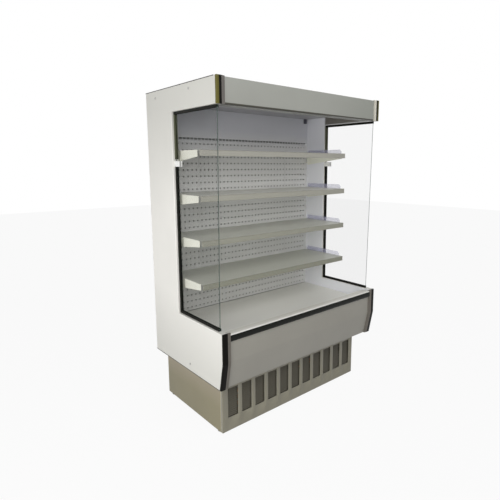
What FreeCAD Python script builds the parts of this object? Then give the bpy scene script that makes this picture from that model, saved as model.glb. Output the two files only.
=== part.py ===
"""Open-front refrigerated display case with four tilting shelves, millimetres.

X runs to the right, Y to the rear and Z up. The origin lies on the floor, at the
centre of the case's footprint. Outlines of folded sheets are written as (y, z).
"""

import FreeCAD, Part

import math
import os

Vec = FreeCAD.Vector

# Overall size: a 1250 mm display module closed by two foamed end walls
case_width = 1330.0
case_depth = 790.0
case_height = 2000.0
end_wall = 40.0

# Side outline of the end walls
column_depth = 313.0
top_arm_setback = 16.0
top_arm_height = 136.0
bottom_arm_rise = 76.0
cabinet_bottom = 344.0
apron_bend_rise = 161.0
apron_slant = 31.0
trim_depth = 12.0

# Sheet metal, foam and clearances
sheet = 1.2
skin = 1.0
bracket_steel = 2.5
foam_thickness = 50.0
roof_foam = 30.0
front_wall_foam = 25.0
running_gap = 0.3
loose_gap = 1.0
overrun = 5.0

# Display space
back_panel_reach = 130.0
ceiling_depth = 78.0
deck_height = 600.0
lip_rise = 68.0
shelf_count = 4
lowest_shelf_rise = 285.0
shelf_top_room = 250.0
slot_pitch = 51.0

# Machine base under the tank
base_inset = 73.0
base_setback = 130.0
base_rear_inset = 8.0
base_clearance = 10.0

# Planes that several pieces share
side_x = case_width / 2
inner_x = side_x - end_wall
rear_y = case_depth / 2
front_y = -case_depth / 2
column_y = rear_y - column_depth
top_arm_y = front_y + top_arm_setback
top_arm_z = case_height - top_arm_height
bottom_arm_top = deck_height + bottom_arm_rise
ceiling_height = case_height - ceiling_depth
lip_height = deck_height + lip_rise
lowest_shelf = deck_height + lowest_shelf_rise
slot_room = ceiling_height - shelf_top_room - lowest_shelf
slots_per_shelf = int(slot_room / slot_pitch / (shelf_count - 1))
bend_z = cabinet_bottom + apron_bend_rise
panel_y = rear_y - back_panel_reach
base_x = side_x - base_inset
base_front_y = front_y + base_setback
base_rear_y = rear_y - base_rear_inset


def block(x0, x1, y0, y1, z0, z1):
    """Box between two opposite corners."""
    return Part.makeBox(x1 - x0, y1 - y0, z1 - z0, Vec(x0, y0, z0))


def prism(corners, direction):
    """Straight prism of a flat closed outline."""
    return Part.Face(Part.makePolygon(corners + corners[:1])).extrude(direction)


def prism_x(outline, x0, x1):
    """Prism of a (y, z) outline between two planes across the case."""
    return prism([Vec(x0, y, z) for y, z in outline], Vec(x1 - x0, 0, 0))


def headings(path):
    """Unit directions of the runs of a path."""
    runs = [(b[0] - a[0], b[1] - a[1]) for a, b in zip(path, path[1:])]
    return [(u / math.hypot(u, v), v / math.hypot(u, v)) for u, v in runs]


def shifted(path, distance):
    """Open path moved sideways to its left, with mitred corners."""
    turns = headings(path)
    moved = []
    for place, (u, v) in enumerate(path):
        before = turns[max(place - 1, 0)]
        after = turns[min(place, len(turns) - 1)]
        reach = distance / (1 + before[0] * after[0] + before[1] * after[1])
        moved.append((u - (before[1] + after[1]) * reach, v + (before[0] + after[0]) * reach))
    return moved


def inset(outline, distance):
    """Closed anticlockwise outline drawn in by a distance."""
    looped = [outline[-1]] + outline + [outline[0]]
    return shifted(looped, distance)[1:-1]


def folded(path, thickness, x0, x1):
    """Sheet folded along a (y, z) path, with its thickness to the path's left."""
    return prism_x(path + shifted(path, thickness)[::-1], x0, x1)


def rod(x, y, z, radius, direction):
    """Round bar from a point along a vector."""
    return Part.makeCylinder(radius, direction.Length, Vec(x, y, z), direction)


def polygon_at(start, radius, direction, sides):
    """Regular polygon square to a direction, its corners on a circle about a point."""
    side = Vec(0, 0, 1).cross(direction)
    if side.Length == 0:
        side = Vec(1, 0, 0)
    side.normalize()
    up = side.cross(direction).normalize()
    corners = []
    for place in range(sides):
        turn = math.pi * (place + place + 1) / sides
        corners.append(start + side * (radius * math.cos(turn)) + up * (radius * math.sin(turn)))
    return Part.makePolygon(corners + corners[:1])


def many_sided(start, radius, direction, sides):
    """Many-sided bar from a point along a vector."""
    return Part.Face(polygon_at(start, radius, direction, sides)).extrude(direction)


def hexagonal(start, radius, direction):
    """Six-sided bar from a point along a vector."""
    return many_sided(start, radius, direction, 6)


def tube_run(corners, radius, sides):
    """Pipe along straight runs, mitred at its elbows, drawn with a many-sided section."""
    start = polygon_at(corners[0], radius, corners[1] - corners[0], sides)
    return Part.makePolygon(corners).makePipeShell([start], True, False, 1)


def joined(shapes):
    """One solid, or several that do not touch, from overlapping shapes."""
    whole = shapes[0].fuse(shapes[1:]) if len(shapes) > 1 else shapes[0]
    return whole.removeSplitter()


def mirrored(shape):
    """The other-handed copy of a piece across the middle of the case."""
    return shape.mirror(Vec(0, 0, 0), Vec(1, 0, 0))


def pair(shape):
    """A right-hand piece and its left-hand twin as separate solids."""
    return Part.makeCompound([shape, mirrored(shape)])


def save(name, shape):
    """Write one node."""
    shape.exportStep("parts/" + name + ".step")


# End walls: a painted pan and an inner cover sheet, foamed between
deck_edge = 20.0
ledge_width = 18.0
ledge_setback = 84.0
deck_rear_gap = 3.0
ledge_front_y = front_y + ledge_setback


def wall_outline():
    """Side outline of an end wall, its front edges set back behind the trims."""
    arm_edge = top_arm_y + trim_depth
    apron_edge = front_y + trim_depth
    return [
        (rear_y, cabinet_bottom),
        (rear_y, case_height),
        (arm_edge, case_height),
        (arm_edge, top_arm_z),
        (column_y, top_arm_z),
        (column_y, bottom_arm_top),
        (apron_edge, bottom_arm_top),
        (apron_edge, bend_z),
        (apron_edge + apron_slant, cabinet_bottom),
    ]


def end_panel():
    """Right end wall: outer pan, and the inner sheet that carries the deck's ledge."""
    cover_x = inner_x + sheet
    pan = prism_x(wall_outline(), cover_x, side_x)
    hollow = prism_x(inset(wall_outline(), sheet), cover_x - overrun, side_x - sheet)
    cover = prism_x(wall_outline(), inner_x, cover_x)
    ledge_top = deck_height - deck_edge
    ledge = block(inner_x - ledge_width, inner_x, ledge_front_y, panel_y - deck_rear_gap,
                  ledge_top - sheet, ledge_top)
    return [pan.cut(hollow), joined([cover, ledge])]


def end_core():
    """Foam slab that fills the right end wall."""
    return prism_x(inset(wall_outline(), sheet), inner_x + sheet, side_x - sheet)


# Tank: outer skin, foam and inner liner, each open to the front
roof_recess = 4.0
front_wall_setback = 55.0
front_wall_drop = 13.0
roof_setback = 55.0
roof_top = case_height - roof_recess
front_wall_y = front_y + front_wall_setback
front_wall_top = lip_height - front_wall_drop
roof_front_y = front_y + roof_setback
liner_front_y = front_wall_y + skin + front_wall_foam
liner_rear_y = rear_y - skin - foam_thickness
liner_floor_z = cabinet_bottom + skin + foam_thickness
liner_roof_z = roof_top - skin - roof_foam
floor_top = liner_floor_z + skin
tray_side_gap = 122.0
tray_length = 400.0
drain_share = 0.55
drain_radius = 16.0
drain_reach = 195.0
liquid_reach = 205.0
compressor_reach = 335.0
riser_side_gap = 52.0
tray_left = tray_side_gap - base_x
drain_x = tray_left + tray_length * drain_share
drain_y = rear_y - drain_reach
riser_x = base_x - riser_side_gap
liquid_y = rear_y - liquid_reach
compressor_y = rear_y - compressor_reach
liquid_radius = 5.0
suction_radius = 8.0


def outer_path():
    """Outside of the tank from the tub's front wall round to the roof's front edge."""
    return [
        (front_wall_y, front_wall_top),
        (front_wall_y, cabinet_bottom),
        (rear_y, cabinet_bottom),
        (rear_y, roof_top),
        (roof_front_y, roof_top),
        (roof_front_y, liner_roof_z),
    ]


def liner_path():
    """Foam side of the liner, starting with the flange on the tub's front wall."""
    return [
        (front_wall_y, front_wall_top),
        (liner_front_y, front_wall_top),
        (liner_front_y, liner_floor_z),
        (liner_rear_y, liner_floor_z),
        (liner_rear_y, liner_roof_z),
        (roof_front_y, liner_roof_z),
    ]


def floor_holes():
    """Tools for the drain's hole and the square pipe ways through the tub's floor."""
    bottom = cabinet_bottom - overrun
    top = floor_top + overrun
    tools = [rod(drain_x, drain_y, bottom, drain_radius + running_gap, Vec(0, 0, top - bottom))]
    for y, radius in ((liquid_y, liquid_radius), (compressor_y, suction_radius)):
        half = radius + running_gap
        tools.append(block(riser_x - half, riser_x + half, y - half, y + half, bottom, top))
    return tools


def tank_outer_skin():
    """Painted outer skin in one fold round the bottom, rear and roof."""
    return folded(outer_path(), skin, -inner_x, inner_x).cut(floor_holes())


def tank_liner():
    """Inner skin of the tub, rear wall and roof."""
    return folded(liner_path(), skin, -inner_x, inner_x).cut(floor_holes())


def tank_core():
    """Foam between the outer skin and the liner."""
    inside = shifted(outer_path(), skin)
    inside[0] = (front_wall_y + skin, front_wall_top)
    liner = liner_path()[1:-1] + [(roof_front_y + skin, liner_roof_z)]
    return prism_x(inside[:-1] + liner[::-1], -inner_x, inner_x).cut(floor_holes())


# Canopy: fascia, ceiling sheet and honeycomb air outlet
fascia_recess = 6.0
fascia_drop = 130.0
fascia_flange = 30.0
fascia_return = 14.0
trim_lap = 12.0
ceiling_bend_setback = 195.0
honeycomb_setback = 140.0
honeycomb_depth = 70.0
honeycomb_drop = 50.0
honeycomb_height = 25.0
honeycomb_rail = 1.5
honeycomb_slats = 15
ceiling_drop = 38.0
front_lap_x = inner_x - trim_lap
fascia_y = top_arm_y + fascia_recess
honeycomb_bottom = ceiling_height - honeycomb_drop
honeycomb_rear_y = front_y + honeycomb_setback
honeycomb_front_y = honeycomb_rear_y - honeycomb_depth


def canopy_fascia():
    """Front sheet of the canopy, flanged over the roof and turned in below."""
    inner_y = fascia_y + sheet
    bottom = roof_top - fascia_drop
    path = [
        (inner_y + fascia_return, bottom),
        (inner_y, bottom),
        (inner_y, roof_top),
        (roof_front_y + fascia_flange, roof_top),
    ]
    return folded(path, sheet, -front_lap_x, front_lap_x)


def ceiling_sheet():
    """Underside of the air duct, dropping to the honeycomb at the front."""
    path = [
        (honeycomb_rear_y + sheet, ceiling_height - ceiling_drop),
        (front_y + ceiling_bend_setback, ceiling_height),
        (panel_y, ceiling_height),
    ]
    return folded(path, sheet, -inner_x, inner_x)


def air_honeycomb():
    """Air outlet: a frame of two rails and cross slats, with the duct's front wall."""
    top = honeycomb_bottom + honeycomb_height
    back = block(-inner_x, inner_x, honeycomb_rear_y - honeycomb_rail, honeycomb_rear_y,
                 honeycomb_bottom, top)
    front = block(-inner_x, inner_x, honeycomb_front_y, honeycomb_front_y + honeycomb_rail,
                  honeycomb_bottom, liner_roof_z - skin)
    pitch = (inner_x + inner_x - honeycomb_rail) / (honeycomb_slats - 1)
    slats = [
        block(x, x + honeycomb_rail, honeycomb_front_y, honeycomb_rear_y, honeycomb_bottom, top)
        for x in [pitch * place - inner_x for place in range(honeycomb_slats)]
    ]
    return joined([back, front] + slats)


# Canopy lamp: batten with two holders and a fluorescent tube
lamp_radius = 8.0
lamp_end_gap = 35.0
lamp_holder = 12.0
batten_depth = 40.0
batten_drop = 34.0
batten_height = 28.0
lamp_drop = 10.0
lamp_half_length = inner_x - lamp_end_gap
batten_bottom = ceiling_height - batten_drop
batten_rear_y = honeycomb_front_y
lamp_y = batten_rear_y - batten_depth / 2
lamp_z = batten_bottom - lamp_drop


def lamp_fitting():
    """Batten on the duct's front wall, with a holder under each end."""
    box = block(-lamp_half_length, lamp_half_length, batten_rear_y - batten_depth, batten_rear_y,
                batten_bottom, batten_bottom + batten_height)
    hollow = block(-lamp_half_length + sheet, lamp_half_length - sheet,
                   batten_rear_y - batten_depth + sheet, batten_rear_y + overrun,
                   batten_bottom + sheet, batten_bottom + batten_height - sheet)
    holder = block(lamp_half_length - lamp_holder, lamp_half_length,
                   lamp_y - lamp_radius, lamp_y + lamp_radius,
                   lamp_z - lamp_radius, batten_bottom)
    return joined([box.cut(hollow), holder, mirrored(holder)])


def lamp_tube():
    """Glass tube between the two holders."""
    half = lamp_half_length - lamp_holder
    return rod(-half, lamp_y, lamp_z, lamp_radius, Vec(half + half, 0, 0))


# Side glass, its gaskets and clips
glass_thickness = 6.0
glass_setback = 22.0
glass_top_setback = 45.0
glass_bottom_setback = 60.0
gasket_width = 16.0
gasket_height = 14.0
gasket_bed = 4.0
clip_width = 24.0
clip_reach = 50.0
clip_drop = 264.0
clip_height = 35.0
clip_bottom = top_arm_z - clip_drop - clip_height
glass_x = side_x - glass_setback


def glass_outline(margin):
    """Outline of the pane in the C-shaped window, grown by a margin at its bedded edges."""
    bed = gasket_bed + running_gap - margin
    return [
        (column_y - bed, bottom_arm_top + bed),
        (column_y - bed, top_arm_z - bed),
        (front_y + glass_top_setback, top_arm_z - bed),
        (front_y + glass_bottom_setback, bottom_arm_top + bed),
    ]


def side_glass():
    """Toughened side pane in the middle of the end wall's thickness."""
    half = glass_thickness / 2
    return prism_x(glass_outline(0), glass_x - half, glass_x + half)


def glass_clip():
    """Moulded clip that grips the pane at the column's front edge."""
    half = clip_width / 2
    slot = glass_thickness / 2 + running_gap
    body = block(glass_x - half, glass_x + half, column_y - clip_reach, column_y,
                 clip_bottom, clip_bottom + clip_height)
    bed = gasket_bed
    slit = block(glass_x - slot, glass_x + slot, column_y - clip_reach - overrun, column_y - bed,
                 clip_bottom - overrun, clip_bottom + clip_height + overrun)
    return body.cut(slit)


def glazing_gasket():
    """Rubber channel along both arms and the column, broken at the clip."""
    half = gasket_width / 2
    slot = glass_thickness / 2 + running_gap
    strip = prism_x([
        (column_y, bottom_arm_top),
        (column_y, top_arm_z),
        (front_y + glass_top_setback, top_arm_z),
        (front_y + glass_top_setback, top_arm_z - gasket_height),
        (column_y - gasket_height, top_arm_z - gasket_height),
        (column_y - gasket_height, bottom_arm_top + gasket_height),
        (front_y + glass_bottom_setback, bottom_arm_top + gasket_height),
        (front_y + glass_bottom_setback, bottom_arm_top),
    ], glass_x - half, glass_x + half)
    groove = prism_x([
        (column_y - gasket_bed, bottom_arm_top + gasket_bed),
        (column_y - gasket_bed, top_arm_z - gasket_bed),
        (front_y, top_arm_z - gasket_bed),
        (front_y, bottom_arm_top + gasket_bed),
    ], glass_x - slot, glass_x + slot)
    gap = block(glass_x - gasket_width, glass_x + gasket_width, column_y - clip_reach, column_y,
                clip_bottom, clip_bottom + clip_height)
    return strip.cut([groove, gap])


# Trims on the arms' front edges
trim_round = 5.0
trim_lap_step = 4.0


def trim_section(edge_y, z):
    """Plan of a trim: rounded cap over the wall and a thinner lap towards the middle."""
    face_y = edge_y - trim_depth
    lap_y = face_y + trim_lap_step
    cap = block(inner_x, side_x, face_y, edge_y, z, z + trim_round)
    corners = [edge for edge in cap.Edges if edge.BoundBox.YMax < edge_y and edge.BoundBox.XLength == 0]
    upright = [edge for edge in corners if edge.BoundBox.ZLength > 0]
    lap = block(front_lap_x, inner_x + trim_round, lap_y, edge_y, z, z + trim_round)
    solid = joined([cap.makeFillet(trim_round, upright), lap])
    return [face for face in solid.Faces if face.BoundBox.ZMax < z + trim_round / 2][0]


def edge_trims():
    """Plastic caps on the top arm and on the bent front edge of the bottom arm."""
    upper = trim_section(top_arm_y + trim_depth, top_arm_z).extrude(Vec(0, 0, top_arm_height))
    section = trim_section(front_y + trim_depth, bend_z)
    lower = joined([
        section.extrude(Vec(0, 0, bottom_arm_top - bend_z)),
        section.extrude(Vec(0, apron_slant, -apron_bend_rise)),
    ])
    return Part.makeCompound([upper, lower, mirrored(upper), mirrored(lower)])


# Front apron with its bumper
apron_foot = 8.0
bumper_height = 42.0
bumper_round = 8.0


def front_apron():
    """Painted front sheet: lip over the tub wall, face, slanted lower half and foot."""
    face_y = front_y + trim_depth
    path = [
        (front_wall_y, front_wall_top + skin),
        (front_wall_y, lip_height - sheet),
        (face_y + sheet, lip_height - sheet),
        (face_y + sheet, bend_z),
        (face_y + sheet + apron_slant, cabinet_bottom + sheet),
        (face_y + sheet + apron_slant + apron_foot, cabinet_bottom + sheet),
    ]
    return folded(path[::-1], sheet, -front_lap_x, front_lap_x)


def bumper_strip():
    """Rounded bumper along the top of the apron, between the trims."""
    strip = block(-front_lap_x, front_lap_x, front_y, front_y + trim_depth,
                  lip_height - bumper_height, lip_height)
    nose = [edge for edge in strip.Edges if edge.BoundBox.YMax == front_y and edge.BoundBox.ZLength == 0]
    return strip.makeFillet(bumper_round, nose)


# Slotted shelf uprights
upright_width = 20.0
upright_steel = 2.0
slot_height = 16.0
slot_side_gap = 0.8
hook_drop = 12.0
slots_below = 3
slot_count = slots_below + slots_per_shelf * (shelf_count - 1) + 1
lowest_slot = lowest_shelf - hook_drop - slots_below * slot_pitch
upright_x = inner_x - upright_width / 2


def shelf_upright():
    """Channel from the tub's floor to the ceiling, slotted above the deck."""
    path = [
        (inner_x - upright_width, liner_rear_y - skin),
        (inner_x - upright_width, panel_y),
        (inner_x, panel_y),
        (inner_x, liner_rear_y - skin),
    ]
    outline = path + shifted(path, upright_steel)[::-1]
    corners = [Vec(x, y, floor_top) for x, y in outline]
    channel = prism(corners, Vec(0, 0, ceiling_height - floor_top))
    half = bracket_steel / 2 + slot_side_gap
    slots = []
    for place in range(slot_count):
        z = lowest_slot + slot_pitch * place
        slots.append(block(upright_x - half, upright_x + half, panel_y - overrun,
                           panel_y + upright_steel + overrun, z - slot_height / 2, z + slot_height / 2))
    return channel.cut(slots)


# Perforated back panels, with a plain panel above them
panel_joint_inset = 242.0
panel_lift = 2.0
upper_panel_height = 195.0
outlet_rise = 5.0
panel_rows = 4
side_panel_columns = 2
middle_panel_columns = 5
perforation_width = 76.0
perforation_height = 6.0
outlet_width = 140.0
outlet_height = 8.0
outlet_count = 6
panel_joint_x = inner_x - panel_joint_inset
panel_bottom = deck_height + panel_lift
panel_top = ceiling_height - upper_panel_height
outlet_bottom = panel_top + outlet_rise


def back_panels():
    """Three perforated sheets side by side, and the upper sheet with its row of outlets."""
    half = inner_x - upright_width - running_gap
    step_z = (panel_top - panel_bottom) / panel_rows
    sheets = []
    for left, right, columns in (
        (-half, -panel_joint_x, side_panel_columns),
        (-panel_joint_x, panel_joint_x, middle_panel_columns),
        (panel_joint_x, half, side_panel_columns),
    ):
        plain = block(left + running_gap, right - running_gap, panel_y, panel_y + sheet,
                      panel_bottom, panel_top)
        step_x = (right - left) / columns
        tools = []
        for column in range(columns):
            x = left + step_x * (column + 0.5)
            for row in range(panel_rows):
                z = panel_bottom + step_z * (row + 0.5)
                tools.append(block(x - perforation_width / 2, x + perforation_width / 2,
                                   panel_y - overrun, panel_y + overrun, z, z + perforation_height))
        sheets.append(plain.cut(tools))
    upper = block(-half, half, panel_y, panel_y + sheet, panel_top + running_gap, ceiling_height)
    pitch = (half + half) / outlet_count
    rows = []
    for place in range(outlet_count):
        x = pitch * (place + 0.5) - half
        rows.append(block(x - outlet_width / 2, x + outlet_width / 2, panel_y - overrun,
                          panel_y + overrun, outlet_bottom, outlet_bottom + outlet_height))
    return Part.makeCompound(sheets + [upper.cut(rows)])


# Shelves: folded tray, hooked brackets, ticket rail and clear end stops
bracket_reach = 500.0
bracket_gap = 1.5
bracket_rear_depth = 80.0
bracket_front_depth = 37.0
hook_half_height = 4.0
hook_reach = 8.0
hook_thickness = 6.0
hook_length = 12.0
tab_slots = 1
tilt_limit = 15.0
tray_rear_gap = 6.0
tray_front_reach = 523.0
tray_front_edge = 34.0
tray_rear_edge = 20.0
tray_side_edge = 25.0
rail_depth = 6.0
rail_height = 33.0
rail_wall = 1.5
rail_chamfer = 3.0
stop_height = 30.0
stop_front_reach = 492.0
stop_rear_gap = 25.0
bracket_inner_x = upright_x - bracket_steel / 2
bracket_front_y = rear_y - bracket_reach
tray_front_y = rear_y - tray_front_reach


def shelf_bracket(top):
    """Tapered bracket with a turned-down hook, and a tab in a lower slot."""
    pivot_z = top - hook_drop
    rear = panel_y - bracket_gap
    slope = math.tan(math.radians(tilt_limit))
    lean = (bracket_rear_depth - hook_drop) * slope
    plate = [
        (rear, top),
        (bracket_front_y, top),
        (bracket_front_y, top - bracket_front_depth),
        (rear - lean, top - bracket_rear_depth),
        (rear, pivot_z),
    ]
    behind = panel_y + upright_steel + bracket_gap
    hook = [
        (rear - hook_reach, pivot_z + hook_half_height),
        (rear - hook_reach, pivot_z - hook_half_height),
        (behind, pivot_z - hook_half_height),
        (behind, pivot_z - hook_length),
        (behind + hook_thickness, pivot_z - hook_length),
        (behind + hook_thickness, pivot_z + hook_half_height),
    ]
    tab_z = pivot_z - slot_pitch * tab_slots
    tab_root = rear - slot_pitch * tab_slots * slope - hook_reach
    tab = [
        (tab_root, tab_z - hook_half_height),
        (panel_y + upright_steel, tab_z - hook_half_height),
        (panel_y + upright_steel, tab_z + hook_half_height),
        (tab_root, tab_z + hook_half_height),
    ]
    x0 = bracket_inner_x
    x1 = bracket_inner_x + bracket_steel
    return joined([prism_x(outline, x0, x1) for outline in (plate, hook, tab)])


def shelf_tray(top):
    """Folded tray between the brackets, with edges turned down all round."""
    rear = panel_y - tray_rear_gap
    path = [
        (rear, top - tray_rear_edge),
        (rear, top),
        (tray_front_y, top),
        (tray_front_y, top - tray_front_edge),
    ]
    body = folded(path, sheet, -bracket_inner_x, bracket_inner_x)
    side = block(bracket_inner_x - sheet, bracket_inner_x, bracket_front_y, rear,
                 top - tray_side_edge, top)
    return joined([body, side, mirrored(side)])


def ticket_rail(top):
    """Clip-on label channel along the tray's front edge."""
    face = tray_front_y - rail_depth
    path = [
        (tray_front_y, top),
        (face + rail_chamfer, top),
        (face, top - rail_chamfer),
        (face, top - rail_height),
        (tray_front_y, top - rail_height),
    ]
    half = bracket_inner_x + bracket_steel
    return folded(path, rail_wall, -half, half)


def end_stop(top):
    """Clear upstand on the top edge of the right bracket."""
    front = rear_y - stop_front_reach
    rear = panel_y - stop_rear_gap
    return prism_x([
        (rear, top),
        (rear, top + stop_height),
        (front + stop_height / 2, top + stop_height),
        (front, top + stop_height / 2),
        (front, top),
    ], bracket_inner_x, bracket_inner_x + bracket_steel)


# Deck pan and return-air grille over the tub
deck_side_gap = 3.0
return_air_width = 75.0
grille_gap = 2.0
deck_front_y = front_wall_y + return_air_width
grille_flange_rear_y = liner_front_y + skin
grille_slots = 12
grille_slot_width = 72.0


def deck_pan():
    """Lift-out base shelf resting on the side ledges."""
    x = inner_x - deck_side_gap
    rear = panel_y - deck_rear_gap
    outer = block(-x, x, deck_front_y, rear, deck_height - deck_edge, deck_height)
    hollow = block(sheet - x, x - sheet, deck_front_y + sheet, rear - sheet,
                   deck_height - deck_edge - overrun, deck_height - sheet)
    return outer.cut(hollow)


def return_air_grille():
    """Slotted slope from the tub's front wall down to the deck, with end cheeks."""
    x = inner_x - deck_side_gap
    rear = deck_front_y - grille_gap
    top = front_wall_top + skin
    bottom = deck_height - deck_edge
    path = [
        (front_wall_y + grille_gap, top),
        (grille_flange_rear_y + sheet, top),
        (rear - sheet, deck_height - sheet),
        (rear - sheet, bottom),
    ]
    body = folded(path, sheet, -x, x)
    cheek = prism_x([path[1], (path[1][0], bottom), path[3], path[2]], x - sheet, x)
    pitch = (x + x - deck_edge) / grille_slots
    tools = []
    for place in range(grille_slots):
        middle = pitch * (place + 0.5) - x + deck_edge / 2
        tools.append(block(middle - grille_slot_width / 2, middle + grille_slot_width / 2,
                           path[1][0] + grille_gap + grille_gap, path[2][0] - grille_gap - grille_gap,
                           bottom, top + overrun))
    return joined([body, cheek, mirrored(cheek)]).cut(tools)


# Evaporator: finned coil, fan plate and two fans
coil_side_gap = 145.0
coil_front_reach = 415.0
coil_depth = 250.0
coil_foot = 14.0
coil_top_gap = 40.0
coil_fins = 16
fin_steel = 1.0
bend_radius = 19.0
bend_tube = 5.0
bend_rows = 3
tube_sides = 8
coil_half_width = inner_x - coil_side_gap
coil_front_y = rear_y - coil_front_reach
coil_rear_y = coil_front_y + coil_depth
coil_bottom = floor_top + coil_foot
coil_height = deck_height - coil_top_gap - coil_bottom
fan_plate_reach = 455.0
hole_margin = 2.0
tip_gap = 6.0
fan_x = coil_half_width / 2
fan_z = (floor_top + deck_height - deck_edge) / 2
fan_plate_y = rear_y - fan_plate_reach
evaporator_hole = (deck_height - deck_edge - floor_top) / 2 - hole_margin
evaporator_tip = evaporator_hole - tip_gap


def finned_coil(x0, x1, y0, y1, z0, z1, foot_z, fins):
    """Cased fin pack: end plates down to their feet, covers and evenly spaced fins."""
    plates = [
        block(x0, x0 + sheet, y0, y1, foot_z, z1),
        block(x1 - sheet, x1, y0, y1, foot_z, z1),
        block(x0, x1, y0, y1, z0, z0 + fin_steel),
        block(x0, x1, y0, y1, z1 - fin_steel, z1),
    ]
    pitch = (x1 - x0) / (fins + 1)
    for place in range(fins):
        x = x0 + pitch * (place + 1)
        plates.append(block(x, x + fin_steel, y0, y1, z0, z1))
    return joined(plates)


def return_bend(x, y, z, side):
    """U-turn of copper tube outside a coil's end plate, side +1 or -1 across the case."""
    out = x + side * bend_radius
    return tube_run([
        Vec(x, y, z - bend_radius),
        Vec(out, y, z - bend_radius),
        Vec(out, y, z + bend_radius),
        Vec(x, y, z + bend_radius),
    ], bend_tube, tube_sides)


def evaporator_coil():
    """Coil across the tub with return bends at its left end."""
    core = finned_coil(-coil_half_width, coil_half_width, coil_front_y, coil_rear_y,
                       coil_bottom, coil_bottom + coil_height, floor_top, coil_fins)
    step = coil_depth / (bend_rows + 1)
    z = coil_bottom + coil_height / 2
    bends = [
        return_bend(-coil_half_width, coil_front_y + step * (row + 1), z, -1)
        for row in range(bend_rows)
    ]
    return joined([core] + bends)


def evaporator_fan_plate():
    """Upright plate across the tub with an inlet hole for each fan."""
    top = deck_height - sheet - loose_gap
    plate = block(-inner_x, inner_x, fan_plate_y, fan_plate_y + sheet, floor_top, top)
    notch_x = inner_x - ledge_width - loose_gap
    ledge_top = deck_height - deck_edge
    notch = block(notch_x, inner_x + overrun, fan_plate_y - overrun, fan_plate_y + overrun,
                  ledge_top - sheet - loose_gap, top + overrun)
    holes = [
        rod(x, fan_plate_y - overrun, fan_z, evaporator_hole, Vec(0, overrun + overrun, 0))
        for x in (-fan_x, fan_x)
    ]
    return plate.cut([notch, mirrored(notch)] + holes)


# Fans: swept blades on a hub, and motors on three-legged spiders
blade_count = 5
blade_steel = 1.5
blade_pitch = 28.0
leading_shares = ((0.15, 0.26), (0.34, 0.62), (0.30, 0.90))
trailing_shares = ((-0.19, 0.26), (-0.33, 0.62), (-0.27, 0.93))
tip_shares = (0.04, 0.995)
hub_share = 0.33
hub_sides = 20
hub_length_share = 0.36
shaft_radius = 4.0
shaft_length = 16.0
motor_radius = 34.0
motor_length = 46.0
arm_steel = 3.0
arm_width = 10.0
arm_count = 3
arm_overlap = 8.0


def blade_point(shares, tip):
    """Point of a blade's outline: shares of the tip radius along the chord and outwards."""
    turn = math.radians(blade_pitch)
    chord = shares[0] * tip
    return Vec(chord * math.cos(turn), chord * math.sin(turn), shares[1] * tip)


def fan_blade(tip):
    """Hub with a blind shaft bore and swept blades, on the Y axis, centred on the origin."""
    hub_radius = tip * hub_share
    hub_length = tip * hub_length_share
    hub = many_sided(Vec(0, -hub_length / 2, 0), hub_radius, Vec(0, hub_length, 0), hub_sides)
    bore = rod(0, -hub_length / 2 - overrun, 0, shaft_radius + running_gap,
               Vec(0, shaft_length + running_gap + overrun, 0))
    lead = [blade_point(shares, tip) for shares in leading_shares]
    trail = [blade_point(shares, tip) for shares in trailing_shares]
    tip_arc = Part.Arc(lead[-1], blade_point(tip_shares, tip), trail[-1]).toShape()
    outline = Part.Wire(Part.makePolygon(trail[::-1] + lead).Edges + [tip_arc])
    turn = math.radians(blade_pitch)
    across = Vec(-math.sin(turn), math.cos(turn), 0) * blade_steel
    blade = Part.Face(outline).extrude(across)
    blade.translate(across * -0.5)
    blades = []
    for place in range(blade_count):
        copy = blade.copy()
        copy.rotate(Vec(0, 0, 0), Vec(0, 1, 0), 360.0 / blade_count * place)
        blades.append(copy)
    return joined([hub] + blades).cut(bore)


def fan_motor(face_y, plate_y, leg_radius):
    """Motor in front of a fan, its spider legs reaching back to the plate."""
    toward = 1 if plate_y > face_y else -1
    shapes = [
        rod(0, face_y, 0, motor_radius, Vec(0, -toward * motor_length, 0)),
        rod(0, face_y, 0, shaft_radius, Vec(0, toward * (shaft_length + running_gap), 0)),
    ]
    low_y = min(face_y, face_y - toward * arm_steel)
    high_y = max(face_y, face_y - toward * arm_steel)
    for place in range(arm_count):
        arm = block(-arm_width / 2, arm_width / 2, low_y, high_y, motor_radius - arm_steel,
                    leg_radius + arm_steel)
        leg = block(-arm_width / 2, arm_width / 2, min(low_y, plate_y), max(high_y, plate_y),
                    leg_radius, leg_radius + arm_steel)
        for shape in (arm, leg):
            shape.rotate(Vec(0, 0, 0), Vec(0, 1, 0), 360.0 / arm_count * place)
            shapes.append(shape)
    return joined(shapes)


def evaporator_fan(x):
    """Fan in the plate's hole, half a hub behind the plate."""
    fan = fan_blade(evaporator_tip)
    fan.translate(Vec(x, fan_plate_y + sheet, fan_z))
    return fan


# Machine base: angle-steel frame with a floor sheet
angle = 30.0
angle_steel = 3.0
frame_bottom = 14.0
skid_width = 40.0
floor_sheet = 2.0
return_depth = 15.0
frame_x = base_x - sheet
frame_front_y = base_front_y + return_depth
frame_top = cabinet_bottom
machine_floor = frame_bottom + angle_steel
machine_top = machine_floor + floor_sheet
foot_x = frame_x - skid_width / 2
foot_front_inset = 35.0
foot_rear_inset = 45.0
foot_front_y = frame_front_y + foot_front_inset
foot_rear_y = base_rear_y - foot_rear_inset
foot_pad_radius = 19.0
foot_pad_height = 8.0
foot_stem_radius = 5.0
foot_stem_top = 38.0
nut_side = 20.0
nut_height = 10.0
gland_plate_reach = 112.0
gland_plate_width = 76.0
gland_plate_bottom = 80.0
gland_plate_height = 80.0
gland_z = gland_plate_bottom + gland_plate_height / 2
gland_plate_x = base_x - gland_plate_reach
gland_x = gland_plate_x + gland_plate_width / 2
gland_thread_radius = 10.0


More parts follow.
